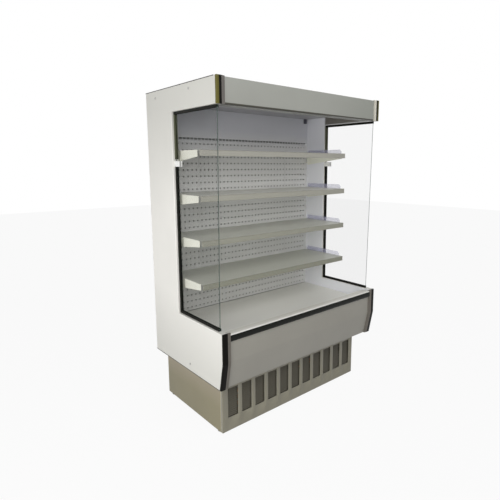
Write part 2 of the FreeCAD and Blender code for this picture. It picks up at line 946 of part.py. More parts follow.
def angle_bar(run, corner):
    """Angle-steel bar: a box along the run, hollowed to two legs that meet at a corner."""
    x0, x1, y0, y1, z0, z1 = run
    solid = block(*run)
    side, level = corner
    if side == "x+":
        room = (x0 - overrun, x1 - angle_steel, y0 - overrun, y1 + overrun)
    elif side == "y+":
        room = (x0 - overrun, x1 + overrun, y0 - overrun, y1 - angle_steel)
    else:
        room = (x0 - overrun, x1 + overrun, y0 + angle_steel, y1 + overrun)
    heights = (z0 + angle_steel, z1 + overrun) if level == "low" else (z0 - overrun, z1 - angle_steel)
    return solid.cut(block(*room, *heights))


def corner_post(y_outer, toward):
    """Right-hand corner post of angle steel, its legs turned inwards along Y by toward."""
    across = (y_outer, y_outer + toward * angle)
    thin = (y_outer, y_outer + toward * angle_steel)
    leg = block(frame_x - angle_steel, frame_x, min(across), max(across), frame_bottom, frame_top)
    web = block(frame_x - angle, frame_x, min(thin), max(thin), frame_bottom, frame_top)
    return joined([leg, web])


def base_frame():
    """Welded frame: skids, cross rails, posts, top rails, floor sheet and gland plate."""
    right = [
        angle_bar((frame_x - skid_width, frame_x, frame_front_y, base_rear_y,
                   frame_bottom, frame_bottom + skid_width), ("x+", "low")),
        angle_bar((frame_x - angle, frame_x, frame_front_y, base_rear_y,
                   frame_top - angle, frame_top), ("x+", "high")),
        corner_post(frame_front_y, 1),
        corner_post(base_rear_y, -1),
    ]
    for y in (foot_front_y, foot_rear_y):
        right.append(block(foot_x - nut_side / 2, foot_x + nut_side / 2, y - nut_side / 2,
                           y + nut_side / 2, machine_floor, machine_floor + nut_height))
    across = [
        angle_bar((-frame_x, frame_x, frame_front_y, frame_front_y + angle,
                   frame_bottom, frame_bottom + angle), ("y-", "low")),
        angle_bar((-frame_x, frame_x, frame_front_y, frame_front_y + angle,
                   frame_top - angle, frame_top), ("y-", "high")),
        angle_bar((-frame_x, frame_x, base_rear_y - angle, base_rear_y,
                   frame_bottom, frame_bottom + angle), ("y+", "low")),
        angle_bar((-frame_x, frame_x, base_rear_y - angle, base_rear_y,
                   frame_top - angle, frame_top), ("y+", "high")),
    ]
    floor = block(angle_steel - frame_x, frame_x - angle_steel, frame_front_y + angle_steel,
                  base_rear_y - angle_steel, machine_floor, machine_top)
    plate = block(gland_plate_x, frame_x, base_rear_y - sheet - angle_steel, base_rear_y - angle_steel,
                  gland_plate_bottom, gland_plate_bottom + gland_plate_height)
    frame = joined(right + [mirrored(shape) for shape in right] + across + [floor, plate])
    tools = []
    for x in (-foot_x, foot_x):
        for y in (foot_front_y, foot_rear_y):
            hole = foot_stem_radius + running_gap
            tools.append(block(x - hole, x + hole, y - hole, y + hole, 0, foot_stem_top + overrun))
    tools.append(rod(gland_x, base_rear_y - angle, gland_z, gland_thread_radius + running_gap,
                     Vec(0, angle + overrun, 0)))
    return frame.cut(tools)


def levelling_foot(x, y):
    """Six-sided pad with a round stem up through the skid's nut."""
    pad = hexagonal(Vec(x, y, 0), foot_pad_radius, Vec(0, 0, foot_pad_height))
    stem = rod(x, y, 0, foot_stem_radius, Vec(0, 0, foot_stem_top))
    return joined([pad, stem])


def base_side_panel():
    """Right side sheet of the base, behind the kick grille's side return."""
    front = base_front_y + return_depth + loose_gap / 2
    return block(frame_x, base_x, front, base_rear_y, base_clearance, frame_top - loose_gap / 2)


# Louvred kick grille
louvre_columns = 11
louvre_margin = 25.5
louvre_width = 72.0
louvre_bottom = 95.0
louvre_top_gap = 66.0
louvre_rows = 9
louvre_steel = 1.2
louvre_depth = 9.0
louvre_rise = 9.0
louvre_gap = 1.0
louvre_lap = 6.0
louvre_pitch = (base_x + base_x - louvre_margin - louvre_margin) / louvre_columns
louvre_top = cabinet_bottom - louvre_top_gap


def kick_grille():
    """Front sheet of the base: a row of windows with slanted louvre blades behind them."""
    top = frame_top - loose_gap
    face = block(-base_x, base_x, base_front_y, base_front_y + sheet, base_clearance, top)
    side = block(base_x - sheet, base_x, base_front_y, frame_front_y, base_clearance, top)
    shelf = block(-base_x, base_x, base_front_y, frame_front_y, top - sheet, top)
    foot = block(-base_x, base_x, base_front_y, frame_front_y, base_clearance, base_clearance + sheet)
    windows = []
    for column in range(louvre_columns):
        middle = louvre_pitch * (column - (louvre_columns - 1) / 2)
        windows.append(block(middle - louvre_width / 2, middle + louvre_width / 2,
                             base_front_y - overrun, base_front_y + overrun,
                             louvre_bottom, louvre_top))
    pack = []
    face_y = base_front_y + sheet
    near_y = face_y + louvre_gap
    blade_end = louvre_pitch * (louvre_columns - 1) / 2 + louvre_width / 2 + louvre_lap
    pitch = (louvre_top - louvre_bottom) / louvre_rows
    for row in range(louvre_rows):
        z = louvre_bottom + pitch * row
        blade = [
            (near_y, z),
            (near_y + louvre_depth, z + louvre_rise),
            (near_y + louvre_depth, z + louvre_rise + louvre_steel),
            (near_y, z + louvre_steel),
        ]
        pack.append(prism_x(blade, -blade_end, blade_end))
    for x in (-blade_end, blade_end - louvre_lap):
        pack.append(block(x, x + louvre_lap, face_y, near_y + louvre_depth,
                          louvre_bottom, louvre_top + louvre_steel))
    panel = joined([face, side, mirrored(side), shelf, foot])
    return joined([panel.cut(windows)] + pack)


# Condensing unit on the machine floor
condenser_side_gap = 152.0
condenser_width = 400.0
condenser_front_gap = 12.0
condenser_depth = 70.0
condenser_top_gap = 59.0
condenser_foot = 6.0
condenser_fins = 12
condenser_left = condenser_side_gap - base_x
condenser_height = frame_top - condenser_top_gap - machine_top
condenser_x = condenser_left + condenser_width / 2
condenser_front_y = frame_front_y + condenser_front_gap
condenser_rear_y = condenser_front_y + condenser_depth
condenser_fan_z = machine_top + condenser_height / 2
hole_border = 14.0
condenser_hole = condenser_height / 2 - hole_border
condenser_tip = condenser_hole - tip_gap
shroud_collar = 26.0
condenser_hub = condenser_tip * hub_length_share
condenser_fan_y = condenser_rear_y + sheet + condenser_hub / 2 + loose_gap


def condenser_coil():
    """Finned condenser behind the grille's left half, with bends at its left end."""
    core = finned_coil(condenser_left, condenser_left + condenser_width, condenser_front_y,
                       condenser_rear_y, machine_top + condenser_foot,
                       machine_top + condenser_height, machine_top, condenser_fins)
    step = condenser_height / (bend_rows + 1)
    middle = condenser_front_y + condenser_depth / 2
    bends = [
        return_bend(condenser_left, middle, machine_top + step * (row + 1), -1)
        for row in range(bend_rows)
    ]
    return joined([core] + bends)


def condenser_shroud():
    """Plate behind the condenser with a round collar about the fan."""
    right = condenser_left + condenser_width
    plate = block(condenser_left, right, condenser_rear_y, condenser_rear_y + sheet,
                  machine_top, machine_top + condenser_height)
    ring = rod(condenser_x, condenser_rear_y, condenser_fan_z, condenser_hole + sheet,
               Vec(0, shroud_collar, 0))
    hole = rod(condenser_x, condenser_rear_y - overrun, condenser_fan_z, condenser_hole,
               Vec(0, shroud_collar + overrun + overrun, 0))
    return joined([plate, ring]).cut(hole)


def condenser_fan_blade():
    """Fan in the shroud's collar, facing its motor behind it."""
    fan = fan_blade(condenser_tip)
    fan.rotate(Vec(0, 0, 0), Vec(0, 0, 1), 180.0)
    fan.translate(Vec(condenser_x, condenser_fan_y, condenser_fan_z))
    return fan


def fan_motors():
    """Both evaporator fan motors and the condenser fan motor."""
    motors = []
    for x in (-fan_x, fan_x):
        face = fan_plate_y + sheet - evaporator_tip * hub_length_share / 2 - running_gap
        motor = fan_motor(face, fan_plate_y, evaporator_hole + arm_overlap - arm_steel)
        motor.translate(Vec(x, 0, fan_z))
        motors.append(motor)
    face = condenser_fan_y + condenser_hub / 2 + running_gap
    motor = fan_motor(face, condenser_rear_y + sheet, condenser_hole + arm_overlap)
    motor.translate(Vec(condenser_x, 0, condenser_fan_z))
    motors.append(motor)
    return Part.makeCompound(motors)


compressor_x = 230.0
compressor_radius = 78.0
compressor_height = 190.0
compressor_plate = 190.0
plate_steel = 4.0
mount_height = 22.0
mount_radius = 12.0
mount_inset = 16.0
dome_rise = 34.0
crown_share = 0.62
terminal_box = 44.0
compressor_bottom = machine_top + mount_height


def compressor():
    """Welded compressor shell: coned cylinder on a foot plate, with its terminal box."""
    half = compressor_plate / 2
    plate = block(-half, half, -half, half, 0, plate_steel)
    wall_top = compressor_height - dome_rise
    wall = rod(0, 0, 0, compressor_radius, Vec(0, 0, wall_top))
    crown = Part.makeCone(compressor_radius, compressor_radius * crown_share, dome_rise, Vec(0, 0, wall_top))
    box = block(-compressor_radius - plate_steel, -compressor_radius + terminal_box / 2,
                -terminal_box / 2, terminal_box / 2, terminal_box, terminal_box + terminal_box)
    unit = joined([plate, wall, crown, box])
    unit.translate(Vec(compressor_x, compressor_y, compressor_bottom))
    return unit


def compressor_mounts():
    """Four rubber grommets between the compressor's foot plate and the floor sheet."""
    half = compressor_plate / 2 - mount_inset
    places = [(compressor_x + x, compressor_y + y) for x in (-half, half) for y in (-half, half)]
    return Part.makeCompound([
        hexagonal(Vec(x, y, machine_top), mount_radius, Vec(0, 0, mount_height)) for x, y in places
    ])


pan_rear_gap = 57.0
tray_depth = 290.0
tray_height = 50.0
tray_wall = 1.5
tray_front = base_rear_y - pan_rear_gap - tray_depth


def condensate_tray():
    """Open tray on the machine floor under the drain."""
    outer = block(tray_left, tray_left + tray_length, tray_front, tray_front + tray_depth,
                  machine_top, machine_top + tray_height)
    hollow = block(tray_left + tray_wall, tray_left + tray_length - tray_wall, tray_front + tray_wall,
                   tray_front + tray_depth - tray_wall, machine_top + tray_wall,
                   machine_top + tray_height + overrun)
    return outer.cut(hollow)


drain_wall = 2.0
drain_dip = 12.0


def drain_pipe():
    """Plain pipe from the tub's floor into the condensate tray."""
    bottom = machine_top + tray_height - drain_dip
    length = floor_top - bottom
    pipe = rod(drain_x, drain_y, bottom, drain_radius, Vec(0, 0, length))
    bore = rod(drain_x, drain_y, bottom, drain_radius - drain_wall, Vec(0, 0, length))
    return pipe.cut(bore)


liquid_low_z = 64.0
discharge_z = 190.0
liquid_entry_share = 0.2
suction_entry_share = 0.8
suction_low_z = 120.0
drier_radius = 14.0
drier_length = 110.0
drier_end_gap = 50.0
pipe_side_gap = 60.0
liquid_entry_z = coil_bottom + coil_height * liquid_entry_share
suction_entry_z = coil_bottom + coil_height * suction_entry_share
drier_x = riser_x - drier_end_gap - drier_length
pipe_x = condenser_left + condenser_width + pipe_side_gap


def refrigerant_pipework():
    """Discharge, liquid and suction lines, with the filter drier in the liquid line."""
    coil_x = condenser_left + condenser_width
    middle = condenser_front_y + condenser_depth / 2
    discharge = tube_run([
        Vec(compressor_x, compressor_y - compressor_radius, discharge_z),
        Vec(compressor_x, middle, discharge_z),
        Vec(coil_x, middle, discharge_z),
    ], liquid_radius, tube_sides)
    liquid = tube_run([
        Vec(coil_x, middle, liquid_low_z),
        Vec(pipe_x, middle, liquid_low_z),
        Vec(pipe_x, liquid_y, liquid_low_z),
        Vec(riser_x, liquid_y, liquid_low_z),
        Vec(riser_x, liquid_y, liquid_entry_z),
        Vec(coil_half_width, liquid_y, liquid_entry_z),
    ], liquid_radius, tube_sides)
    drier = rod(drier_x, liquid_y, liquid_low_z, drier_radius, Vec(drier_length, 0, 0))
    suction = tube_run([
        Vec(coil_half_width, compressor_y, suction_entry_z),
        Vec(riser_x, compressor_y, suction_entry_z),
        Vec(riser_x, compressor_y, suction_low_z),
        Vec(compressor_x + compressor_radius, compressor_y, suction_low_z),
    ], suction_radius, tube_sides)
    return Part.makeCompound([discharge, joined([liquid, drier]), suction])


# Electrical box with its rocker switch
box_side_gap = 42.0
box_width = 220.0
box_front_gap = 15.0
box_depth = 125.0
box_height = 184.0
box_wall = 1.5
display_width = 76.0
display_height = 34.0
display_proud = 3.0
display_z = 150.0
rocker_width = 13.0
rocker_height = 20.0
rocker_depth = 9.0
rocker_proud = 3.0
rocker_tilt = 12.0
rocker_inset = 40.0
box_left = base_x - box_side_gap - box_width
rocker_x = box_left + box_width - rocker_inset
rocker_z = display_z
box_front_y = frame_front_y + box_front_gap


def control_box():
    """Sheet box open below, with the temperature controller's bezel and the switch's hole."""
    right = box_left + box_width
    rear = box_front_y + box_depth
    top = machine_top + box_height
    shell = block(box_left, right, box_front_y, rear, machine_top, top)
    hollow = block(box_left + box_wall, right - box_wall, box_front_y + box_wall, rear - box_wall,
                   machine_top - overrun, top - box_wall)
    bezel_x = box_left + display_height
    bezel = block(bezel_x, bezel_x + display_width, box_front_y - display_proud, box_front_y + box_wall,
                  display_z - display_height / 2, display_z + display_height / 2)
    hole = block(rocker_x - rocker_width / 2 - running_gap, rocker_x + rocker_width / 2 + running_gap,
                 box_front_y - overrun, box_front_y + overrun,
                 rocker_z - rocker_height / 2 - loose_gap, rocker_z + rocker_height / 2 + loose_gap)
    return joined([shell.cut(hollow), bezel]).cut(hole)


def power_switch_rocker():
    """Rocker with two slanted faces that meet at its pivot line."""
    half = rocker_height / 2
    rise = half * math.tan(math.radians(rocker_tilt))
    front = box_front_y - rocker_proud
    outline = [
        (front, rocker_z - half),
        (front + rise, rocker_z),
        (front, rocker_z + half),
        (front + rocker_depth, rocker_z + half / 2),
        (front + rocker_depth, rocker_z - half / 2),
    ]
    return prism_x(outline, rocker_x - rocker_width / 2, rocker_x + rocker_width / 2)


gland_bore = 5.0
gland_nut_radius = 14.0
gland_nut_length = 6.0
gland_cap_length = 14.0
thread_sides = 24


def cable_gland():
    """Gland through the rear plate: hexagonal flange outside, thread and lock nut inside."""
    plate_rear = base_rear_y - angle_steel
    plate_front = plate_rear - sheet
    thread = many_sided(Vec(gland_x, plate_front - gland_cap_length, gland_z), gland_thread_radius,
                        Vec(0, gland_cap_length + sheet + gland_nut_length, 0), thread_sides)
    nut = Vec(0, gland_nut_length, 0)
    lock = hexagonal(Vec(gland_x, plate_front, gland_z) - nut, gland_nut_radius, nut)
    flange = hexagonal(Vec(gland_x, plate_rear, gland_z), gland_nut_radius, nut)
    bore = rod(gland_x, plate_front - gland_cap_length - overrun, gland_z, gland_bore,
               Vec(0, gland_cap_length + gland_cap_length + gland_cap_length, 0))
    return joined([thread, lock, flange]).cut(bore)


probe_width = 22.0
probe_height = 34.0
probe_depth = 14.0
probe_x = inner_x - upright_width - loose_gap - probe_width / 2
probe_z = ceiling_height - loose_gap - probe_height / 2


def temperature_probe():
    """Air probe in its slotted holder, at the top right of the upper back panel."""
    holder = block(probe_x - probe_width / 2, probe_x + probe_width / 2, panel_y - probe_depth, panel_y,
                   probe_z - probe_height / 2, probe_z + probe_height / 2)
    top = [edge for edge in holder.Edges if edge.BoundBox.YMax < panel_y]
    return holder.makeChamfer(probe_depth / 4, top)


def main():
    """Build every node and write it to its own file."""
    os.makedirs("parts", exist_ok=True)
    right_wall = end_panel()
    save("end_panel_right", Part.makeCompound(right_wall))
    save("end_panel_left", Part.makeCompound([mirrored(shape) for shape in right_wall]))
    core = end_core()
    save("insulation_foam", Part.makeCompound([tank_core(), core, mirrored(core)]))
    save("tank_outer_skin", tank_outer_skin())
    save("tank_liner", tank_liner())
    save("canopy_fascia", canopy_fascia())
    save("ceiling_sheet", ceiling_sheet())
    save("air_honeycomb", air_honeycomb())
    save("lamp_fitting", lamp_fitting())
    save("lamp_tube", lamp_tube())
    save("side_glass", pair(side_glass()))
    save("glazing_gaskets", pair(glazing_gasket()))
    save("glass_clips", pair(glass_clip()))
    save("edge_trims", edge_trims())
    save("front_apron", front_apron())
    save("bumper_strip", bumper_strip())
    save("shelf_uprights", pair(shelf_upright()))
    save("back_panels", back_panels())
    save("temperature_probe", temperature_probe())
    save("deck_pan", deck_pan())
    save("return_air_grille", return_air_grille())
    save("evaporator_coil", evaporator_coil())
    save("evaporator_fan_plate", evaporator_fan_plate())
    save("evaporator_fan_left", evaporator_fan(-fan_x))
    save("evaporator_fan_right", evaporator_fan(fan_x))
    save("fan_motors", fan_motors())
    save("base_frame", base_frame())
    save("base_side_panels", pair(base_side_panel()))
    save("kick_grille", kick_grille())
    save("condenser_coil", condenser_coil())
    save("condenser_shroud", condenser_shroud())
    save("condenser_fan_blade", condenser_fan_blade())
    save("compressor", compressor())
    save("compressor_mounts", compressor_mounts())
    save("condensate_tray", condensate_tray())
    save("drain_pipe", drain_pipe())
    save("refrigerant_pipework", refrigerant_pipework())
    save("control_box", control_box())
    save("power_switch_rocker", power_switch_rocker())
    save("cable_gland", cable_gland())
    for side, x in (("left", -foot_x), ("right", foot_x)):
        save("foot_front_" + side, levelling_foot(x, foot_front_y))
        save("foot_rear_" + side, levelling_foot(x, foot_rear_y))
    for place in range(shelf_count):
        top = lowest_shelf + slot_pitch * slots_per_shelf * place
        name = "shelf_" + str(shelf_count - place)
        save(name + "_brackets", pair(shelf_bracket(top)))
        save(name + "_tray", shelf_tray(top))
        save(name + "_ticket_rail", ticket_rail(top))
        save(name + "_end_stops", end_stop(top))


main()
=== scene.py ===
import math

import bmesh
import bpy
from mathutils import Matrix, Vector


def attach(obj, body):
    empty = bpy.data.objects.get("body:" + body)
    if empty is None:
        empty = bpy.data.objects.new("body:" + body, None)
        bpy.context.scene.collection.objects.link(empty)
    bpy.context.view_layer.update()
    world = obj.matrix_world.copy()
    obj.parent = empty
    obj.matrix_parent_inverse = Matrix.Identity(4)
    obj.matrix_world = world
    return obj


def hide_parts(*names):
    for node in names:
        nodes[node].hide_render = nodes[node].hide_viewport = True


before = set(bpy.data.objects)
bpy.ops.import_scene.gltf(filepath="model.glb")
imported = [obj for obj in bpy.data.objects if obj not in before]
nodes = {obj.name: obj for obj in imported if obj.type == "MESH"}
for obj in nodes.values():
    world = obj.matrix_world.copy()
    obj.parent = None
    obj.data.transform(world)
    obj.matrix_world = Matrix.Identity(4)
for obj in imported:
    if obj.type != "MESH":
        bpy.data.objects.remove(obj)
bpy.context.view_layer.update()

# Studio: a white floor in a white world, lit from the left, the left front and above.
# The camera stands left of the case at eye height and looks slightly down at it.
lens = bpy.data.cameras.new("camera")
lens.sensor_width = 36
lens.lens = 30.951
lens.shift_x = -0.0456
lens.shift_y = -0.0296
camera = bpy.data.objects.new("camera", lens)
camera.location = (-1.8876, -2.191, 1.5645)
camera.rotation_euler = (math.radians(80.78), 0, math.radians(-41.18))
bpy.context.scene.collection.objects.link(camera)
bpy.context.scene.camera = camera
bpy.context.scene.view_settings.view_transform = "Standard"


def soft_light(name, place, aim_height, size, power):
    """A rectangular lamp that faces the middle of the case."""
    lamp = bpy.data.lights.new(name, "AREA")
    lamp.shape = "RECTANGLE"
    lamp.size, lamp.size_y = size
    lamp.energy = power
    holder = bpy.data.objects.new(name, lamp)
    holder.location = place
    heading = Vector((0, 0, aim_height)) - Vector(place)
    holder.rotation_euler = heading.to_track_quat("-Z", "Y").to_euler()
    bpy.context.scene.collection.objects.link(holder)


soft_light("key_light", (-3.6, -0.9, 1.0), aim_height=1.0, size=(2.0, 1.6), power=55)
soft_light("front_light", (-2.5, -2.7, 2.1), aim_height=1.0, size=(1.8, 1.4), power=30)
soft_light("top_light", (-0.2, -2.8, 3.4), aim_height=0.9, size=(2.8, 2.0), power=43)


class Value:
    """What comes out of one socket, with plain arithmetic."""

    def __init__(self, owner, socket):
        self.owner = owner
        self.socket = socket

    def maths(self, operation, *others):
        return self.owner.node("ShaderNodeMath", (self, *others), operation=operation)

    def __add__(self, other):
        return self.maths("ADD", other)

    __radd__ = __add__

    def __sub__(self, other):
        return self.maths("SUBTRACT", other)

    def __mul__(self, other):
        return self.maths("MULTIPLY", other)

    __rmul__ = __mul__

    def __truediv__(self, other):
        return self.maths("DIVIDE", other)

    def __abs__(self):
        return self.maths("ABSOLUTE")

    def __mod__(self, other):
        return self.maths("FLOORED_MODULO", other)

    def __floordiv__(self, other):
        return (self / other).maths("FLOOR")


class Graph:
    """A node tree that is written as expressions."""

    def __init__(self, tree):
        self.tree = tree

    def node(self, kind, inputs=(), output=0, **settings):
        made = self.tree.nodes.new(kind)
        for name, value in settings.items():
            setattr(made, name, value)
        pairs = inputs.items() if isinstance(inputs, dict) else enumerate(inputs)
        for socket, value in pairs:
            if isinstance(value, Value):
                self.tree.links.new(value.socket, made.inputs[socket])
            else:
                made.inputs[socket].default_value = value
        return Value(self, made.outputs[output])


def looked_at(graph):
    """One for rays of the camera, a reflection or a window, and nought for other light."""
    path = graph.tree.nodes.new("ShaderNodeLightPath")
    direct, glossy, through = (
        Value(graph, path.outputs[label])
        for label in ("Is Camera Ray", "Is Glossy Ray", "Is Transmission Ray")
    )
    return direct.maths("MAXIMUM", glossy).maths("MAXIMUM", through)


world_light = 0.25
world = bpy.data.worlds.new("studio")
world.use_nodes = True
bpy.context.scene.world = world
sky = Graph(world.node_tree)
background = sky.tree.nodes["Background"]
background.inputs["Color"].default_value = (1, 1, 1, 1)
strength = world_light + (1 - world_light) * looked_at(sky)
sky.tree.links.new(strength.socket, background.inputs["Strength"])

floor_reach = 14
floor_grey = 0.62
floor_glow = 0.93
ground = bpy.data.meshes.new("floor")
ground.from_pydata(
    [(x * floor_reach, y * floor_reach, 0) for x, y in ((-1, -1), (1, -1), (1, 1), (-1, 1))],
    [],
    [(0, 1, 2, 3)],
)
floor = bpy.data.objects.new("floor", ground)
bpy.context.scene.collection.objects.link(floor)
paper = bpy.data.materials.new("floor_paper")
paper.use_nodes = True
ground.materials.append(paper)
cover = Graph(paper.node_tree)
matt = cover.tree.nodes["Principled BSDF"]
matt.inputs["Base Color"].default_value = (floor_grey, floor_grey, floor_grey, 1)
matt.inputs["Roughness"].default_value = 0.7
glow = cover.node("ShaderNodeEmission")
share = floor_glow * looked_at(cover)
mixed = cover.node("ShaderNodeMixShader", (share, Value(cover, matt.outputs[0]), glow))
cover.tree.links.new(mixed.socket, cover.tree.nodes["Material Output"].inputs["Surface"])


# Machine base: a welded frame of painted steel angle on two skids, with plain side sheets.
# It carries the whole case and is levelled on four threaded feet.
def shade(red, green, blue):
    """A screen colour as the light it stands for."""
    return tuple(
        c / 12.92 if c <= 0.04045 else ((c + 0.055) / 1.055) ** 2.4
        for c in (red / 255, green / 255, blue / 255)
    )


class Finish(Graph):
    """The surface of one material, varied over the piece by procedural nodes."""

    def __init__(self, name, colour, roughness, sockets=()):
        self.material = bpy.data.materials.new(name)
        self.material.use_nodes = True
        super().__init__(self.material.node_tree)
        self.surface = self.tree.nodes["Principled BSDF"]
        self.colour = (*shade(*colour), 1)
        self.normal = None
        self.surface.inputs["Base Color"].default_value = self.colour
        self.surface.inputs["Roughness"].default_value = roughness
        for label, value in dict(sockets).items():
            self.surface.inputs[label].default_value = value

    def place(self):
        return self.node("ShaderNodeTexCoord", output="Object")

    def axis(self, letter):
        return self.node("ShaderNodeSeparateXYZ", (self.place(),), letter)

    def facing(self, letter):
        normal = self.node("ShaderNodeNewGeometry", output="Normal")
        return abs(self.node("ShaderNodeSeparateXYZ", (normal,), letter))

    def noise(self, scale, detail=2.0, roughness=0.5):
        sockets = {"Scale": scale, "Detail": detail, "Roughness": roughness}
        return self.node("ShaderNodeTexNoise", {"Vector": self.place(), **sockets})

    def ramp(self, value, low, high):
        return self.node("ShaderNodeMapRange", (value, low, high, 0.0, 1.0))

    def feed(self, label, value):
        self.tree.links.new(value.socket, self.surface.inputs[label])
        return self

    def tint(self, mask, colour):
        sockets = {0: mask, 6: self.colour, 7: (*shade(*colour), 1)}
        self.colour = self.node("ShaderNodeMix", sockets, 2, data_type="RGBA")
        return self.feed("Base Color", self.colour)

    def relief(self, height, depth):
        sockets = {"Height": height, "Distance": depth}
        if self.normal is not None:
            sockets["Normal"] = self.normal
        self.normal = self.node("ShaderNodeBump", sockets)
        return self.feed("Normal", self.normal)

    def wear(self, *names):
        for name in names:
            nodes[name].material_slots[0].material = self.material
        return self


def painted(name, colour, roughness=0.38, soil=0.93):
    """Stoved paint on sheet steel: faint clouding, orange peel and uneven gloss."""
    paint = Finish(name, colour, roughness)
    clouds = paint.noise(2.2, 3.0, 0.55)
    paint.tint(paint.ramp(clouds, 0.35, 0.75), tuple(channel * soil for channel in colour))
    paint.feed("Roughness", roughness - 0.05 + 0.1 * paint.noise(6.0, 2.0))
    return paint.relief(paint.noise(420.0, 1.0), 0.00006)


def moulded(name, colour, second, roughness, grain=600.0, shine=0.5):
    """Moulded plastic or rubber: two close tones and a fine grain."""
    plastic = Finish(name, colour, roughness, {"Specular IOR Level": shine})
    plastic.tint(plastic.noise(24.0, 3.0), second)
    plastic.feed("Roughness", roughness - 0.06 + 0.12 * plastic.noise(14.0, 2.0))
    return plastic.relief(plastic.noise(grain, 1.0), 0.00004)


def metallic(name, colour, second, roughness, scale=60.0):
    """Bare metal with patches of a second tone."""
    metal = Finish(name, colour, roughness, {"Metallic": 1.0})
    metal.tint(metal.ramp(metal.noise(scale, 3.0), 0.4, 0.7), second)
    return metal.feed("Roughness", roughness - 0.08 + 0.2 * metal.noise(scale * 1.5, 2.0))


def band(count, low, high):
    """Faces between two closed rings of points."""
    steps = [(place, (place + 1) % count) for place in range(count)]
    return [(low + place, low + after, high + after, high + place) for place, after in steps]


def extruded(outline, axis, start, end):
    """Points and faces of a closed outline drawn out along X (0), Y (1) or Z (2)."""
    count = len(outline)
    points = []
    for level in (start, end):
        for first, second in outline:
            point = [first, second]
            point.insert(axis, level)
            points.append(tuple(point))
    ends = [tuple(range(count)), tuple(range(count, count * 2))]
    return points, band(count, 0, count) + ends


def box(x0, x1, y0, y1, z0, z1):
    """Points and faces of a block."""
    return extruded([(y0, z0), (y1, z0), (y1, z1), (y0, z1)], 0, x0, x1)


def turned(profile, sides, ring=False):
    """Points and faces of a piece round about Z, from (radius, height) pairs."""
    turns = [math.tau * place / sides for place in range(sides)]
    points = [
        (radius * math.cos(turn), radius * math.sin(turn), height)
        for radius, height in profile
        for turn in turns
    ]
    rows = len(profile)
    faces = []
    for row in range(rows if ring else rows - 1):
        faces += band(sides, row * sides, (row + 1) % rows * sides)
    if not ring:
        faces += [tuple(range(sides)), tuple(range((rows - 1) * sides, rows * sides))]
    return points, faces


def aimed(shape, place, direction=(0, 0, 1)):
    """The shape with its Z axis along a direction and its origin at a point."""
    turn = Vector(direction).to_track_quat("Z", "Y")
    points, faces = shape
    return [tuple(turn @ Vector(point) + Vector(place)) for point in points], faces


def flipped(shape):
    """The other-handed copy of a shape across the middle of the case."""
    points, faces = shape
    return [(-x, y, z) for x, y, z in points], faces


def both_sides(shape):
    """A shape and its other-handed copy."""
    return [shape, flipped(shape)]


def merged(shapes):
    """Several shapes as one list of points and faces."""
    points = []
    faces = []
    for some_points, some_faces in shapes:
        shift = len(points)
        points += some_points
        faces += [tuple(corner + shift for corner in face) for face in some_faces]
    return points, faces


def creased(mesh):
    """Smooth bends and crisp folds."""
    mesh.shade_smooth()
    mesh.set_sharp_from_angle(angle=math.radians(35))
    return mesh


def mesh_of(name, shape):
    """Mesh of points and faces, all faces outward."""
    mesh = bpy.data.meshes.new(name)
    mesh.from_pydata(shape[0], [], shape[1])
    outward = bmesh.new()
    outward.from_mesh(mesh)
    bmesh.ops.recalc_face_normals(outward, faces=outward.faces)
    outward.to_mesh(mesh)
    outward.free()
    return creased(mesh)


def entered(piece, replaced, body):
    """Put the piece on the empty of the body it rides on, and hide the node it takes the place of.
    """
    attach(piece, body)
    if replaced:
        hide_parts(replaced)
    return piece


def build(name, shapes, finish, replaced=None, body="cabinet"):
    """One piece in place from several shapes."""
    mesh = mesh_of(name, merged(shapes))
    mesh.materials.append(finish.material)
    made = bpy.data.objects.new(name, mesh)
    bpy.context.scene.collection.objects.link(made)
    return entered(made, replaced, body)


def walled(piece, thickness):
    """Give the sheet of a piece its thickness, inwards."""
    walls = piece.modifiers.new("steel", "SOLIDIFY")
    walls.thickness = thickness
    walls.offset = -1
    return piece


def rounded(piece, radius, segments=3):
    """Round the sharp edges of a solid piece."""
    bevel = piece.modifiers.new("round", "BEVEL")
    bevel.width = radius
    bevel.segments = segments
    bevel.limit_method = "ANGLE"
    bevel.angle_limit = math.radians(30)
    bevel.harden_normals = True
    return piece


sheet_steel = 0.0012
base_half = 0.592
base_low = 0.010
painted("frame_paint", (96, 97, 99), 0.5, 0.8).wear("base_frame")
base_paint = painted("base_side_paint", (131, 124, 97), 0.42, 0.93)
painted_corner_highlight = base_paint.ramp(base_paint.axis("Y"), -0.2462, -0.2478)
# The side sheets are painted lighter and pinker towards their top: painted reflected light.
base_paint.tint(0.6 * base_paint.ramp(base_paint.axis("Z"), 0.16, 0.34), (170, 156, 140))
# A narrow lighter strip at the front corner of each side sheet is a painted highlight.
base_paint.tint(painted_corner_highlight, (196, 190, 166))
base_sheet = box(base_half - sheet_steel, base_half, -0.2495, 0.387, base_low, 0.3435)
base_sides = build(
    "base_sides", both_sides(base_sheet), base_paint, "base_side_panels"
)
rounded(base_sides, 0.0005, 2)

foot_x = 0.5708
zinc = metallic("foot_zinc", (168, 168, 166), (126, 126, 128), 0.38)
thread = [(0.0050 - 0.0007 * (ridge % 2), 0.014 + 0.0008 * ridge) for ridge in range(31)]
foot_shapes = [
    turned([(0.0165, 0.0), (0.0188, 0.0015), (0.0188, 0.0050), (0.0120, 0.0080)], 28),
    turned([(0.0085, 0.0080), (0.0085, 0.0140)], 6),
    turned(thread, 14),
]
for end, y in (("front", -0.215), ("rear", 0.342)):
    for side, x in (("left", -foot_x), ("right", foot_x)):
        corner = f"{end}_{side}"
        shapes = [aimed(shape, (x, y, 0)) for shape in foot_shapes]
        piece = "levelling_foot_" + corner
        build(piece, shapes, zinc, "foot_" + corner, "levelling_" + corner)


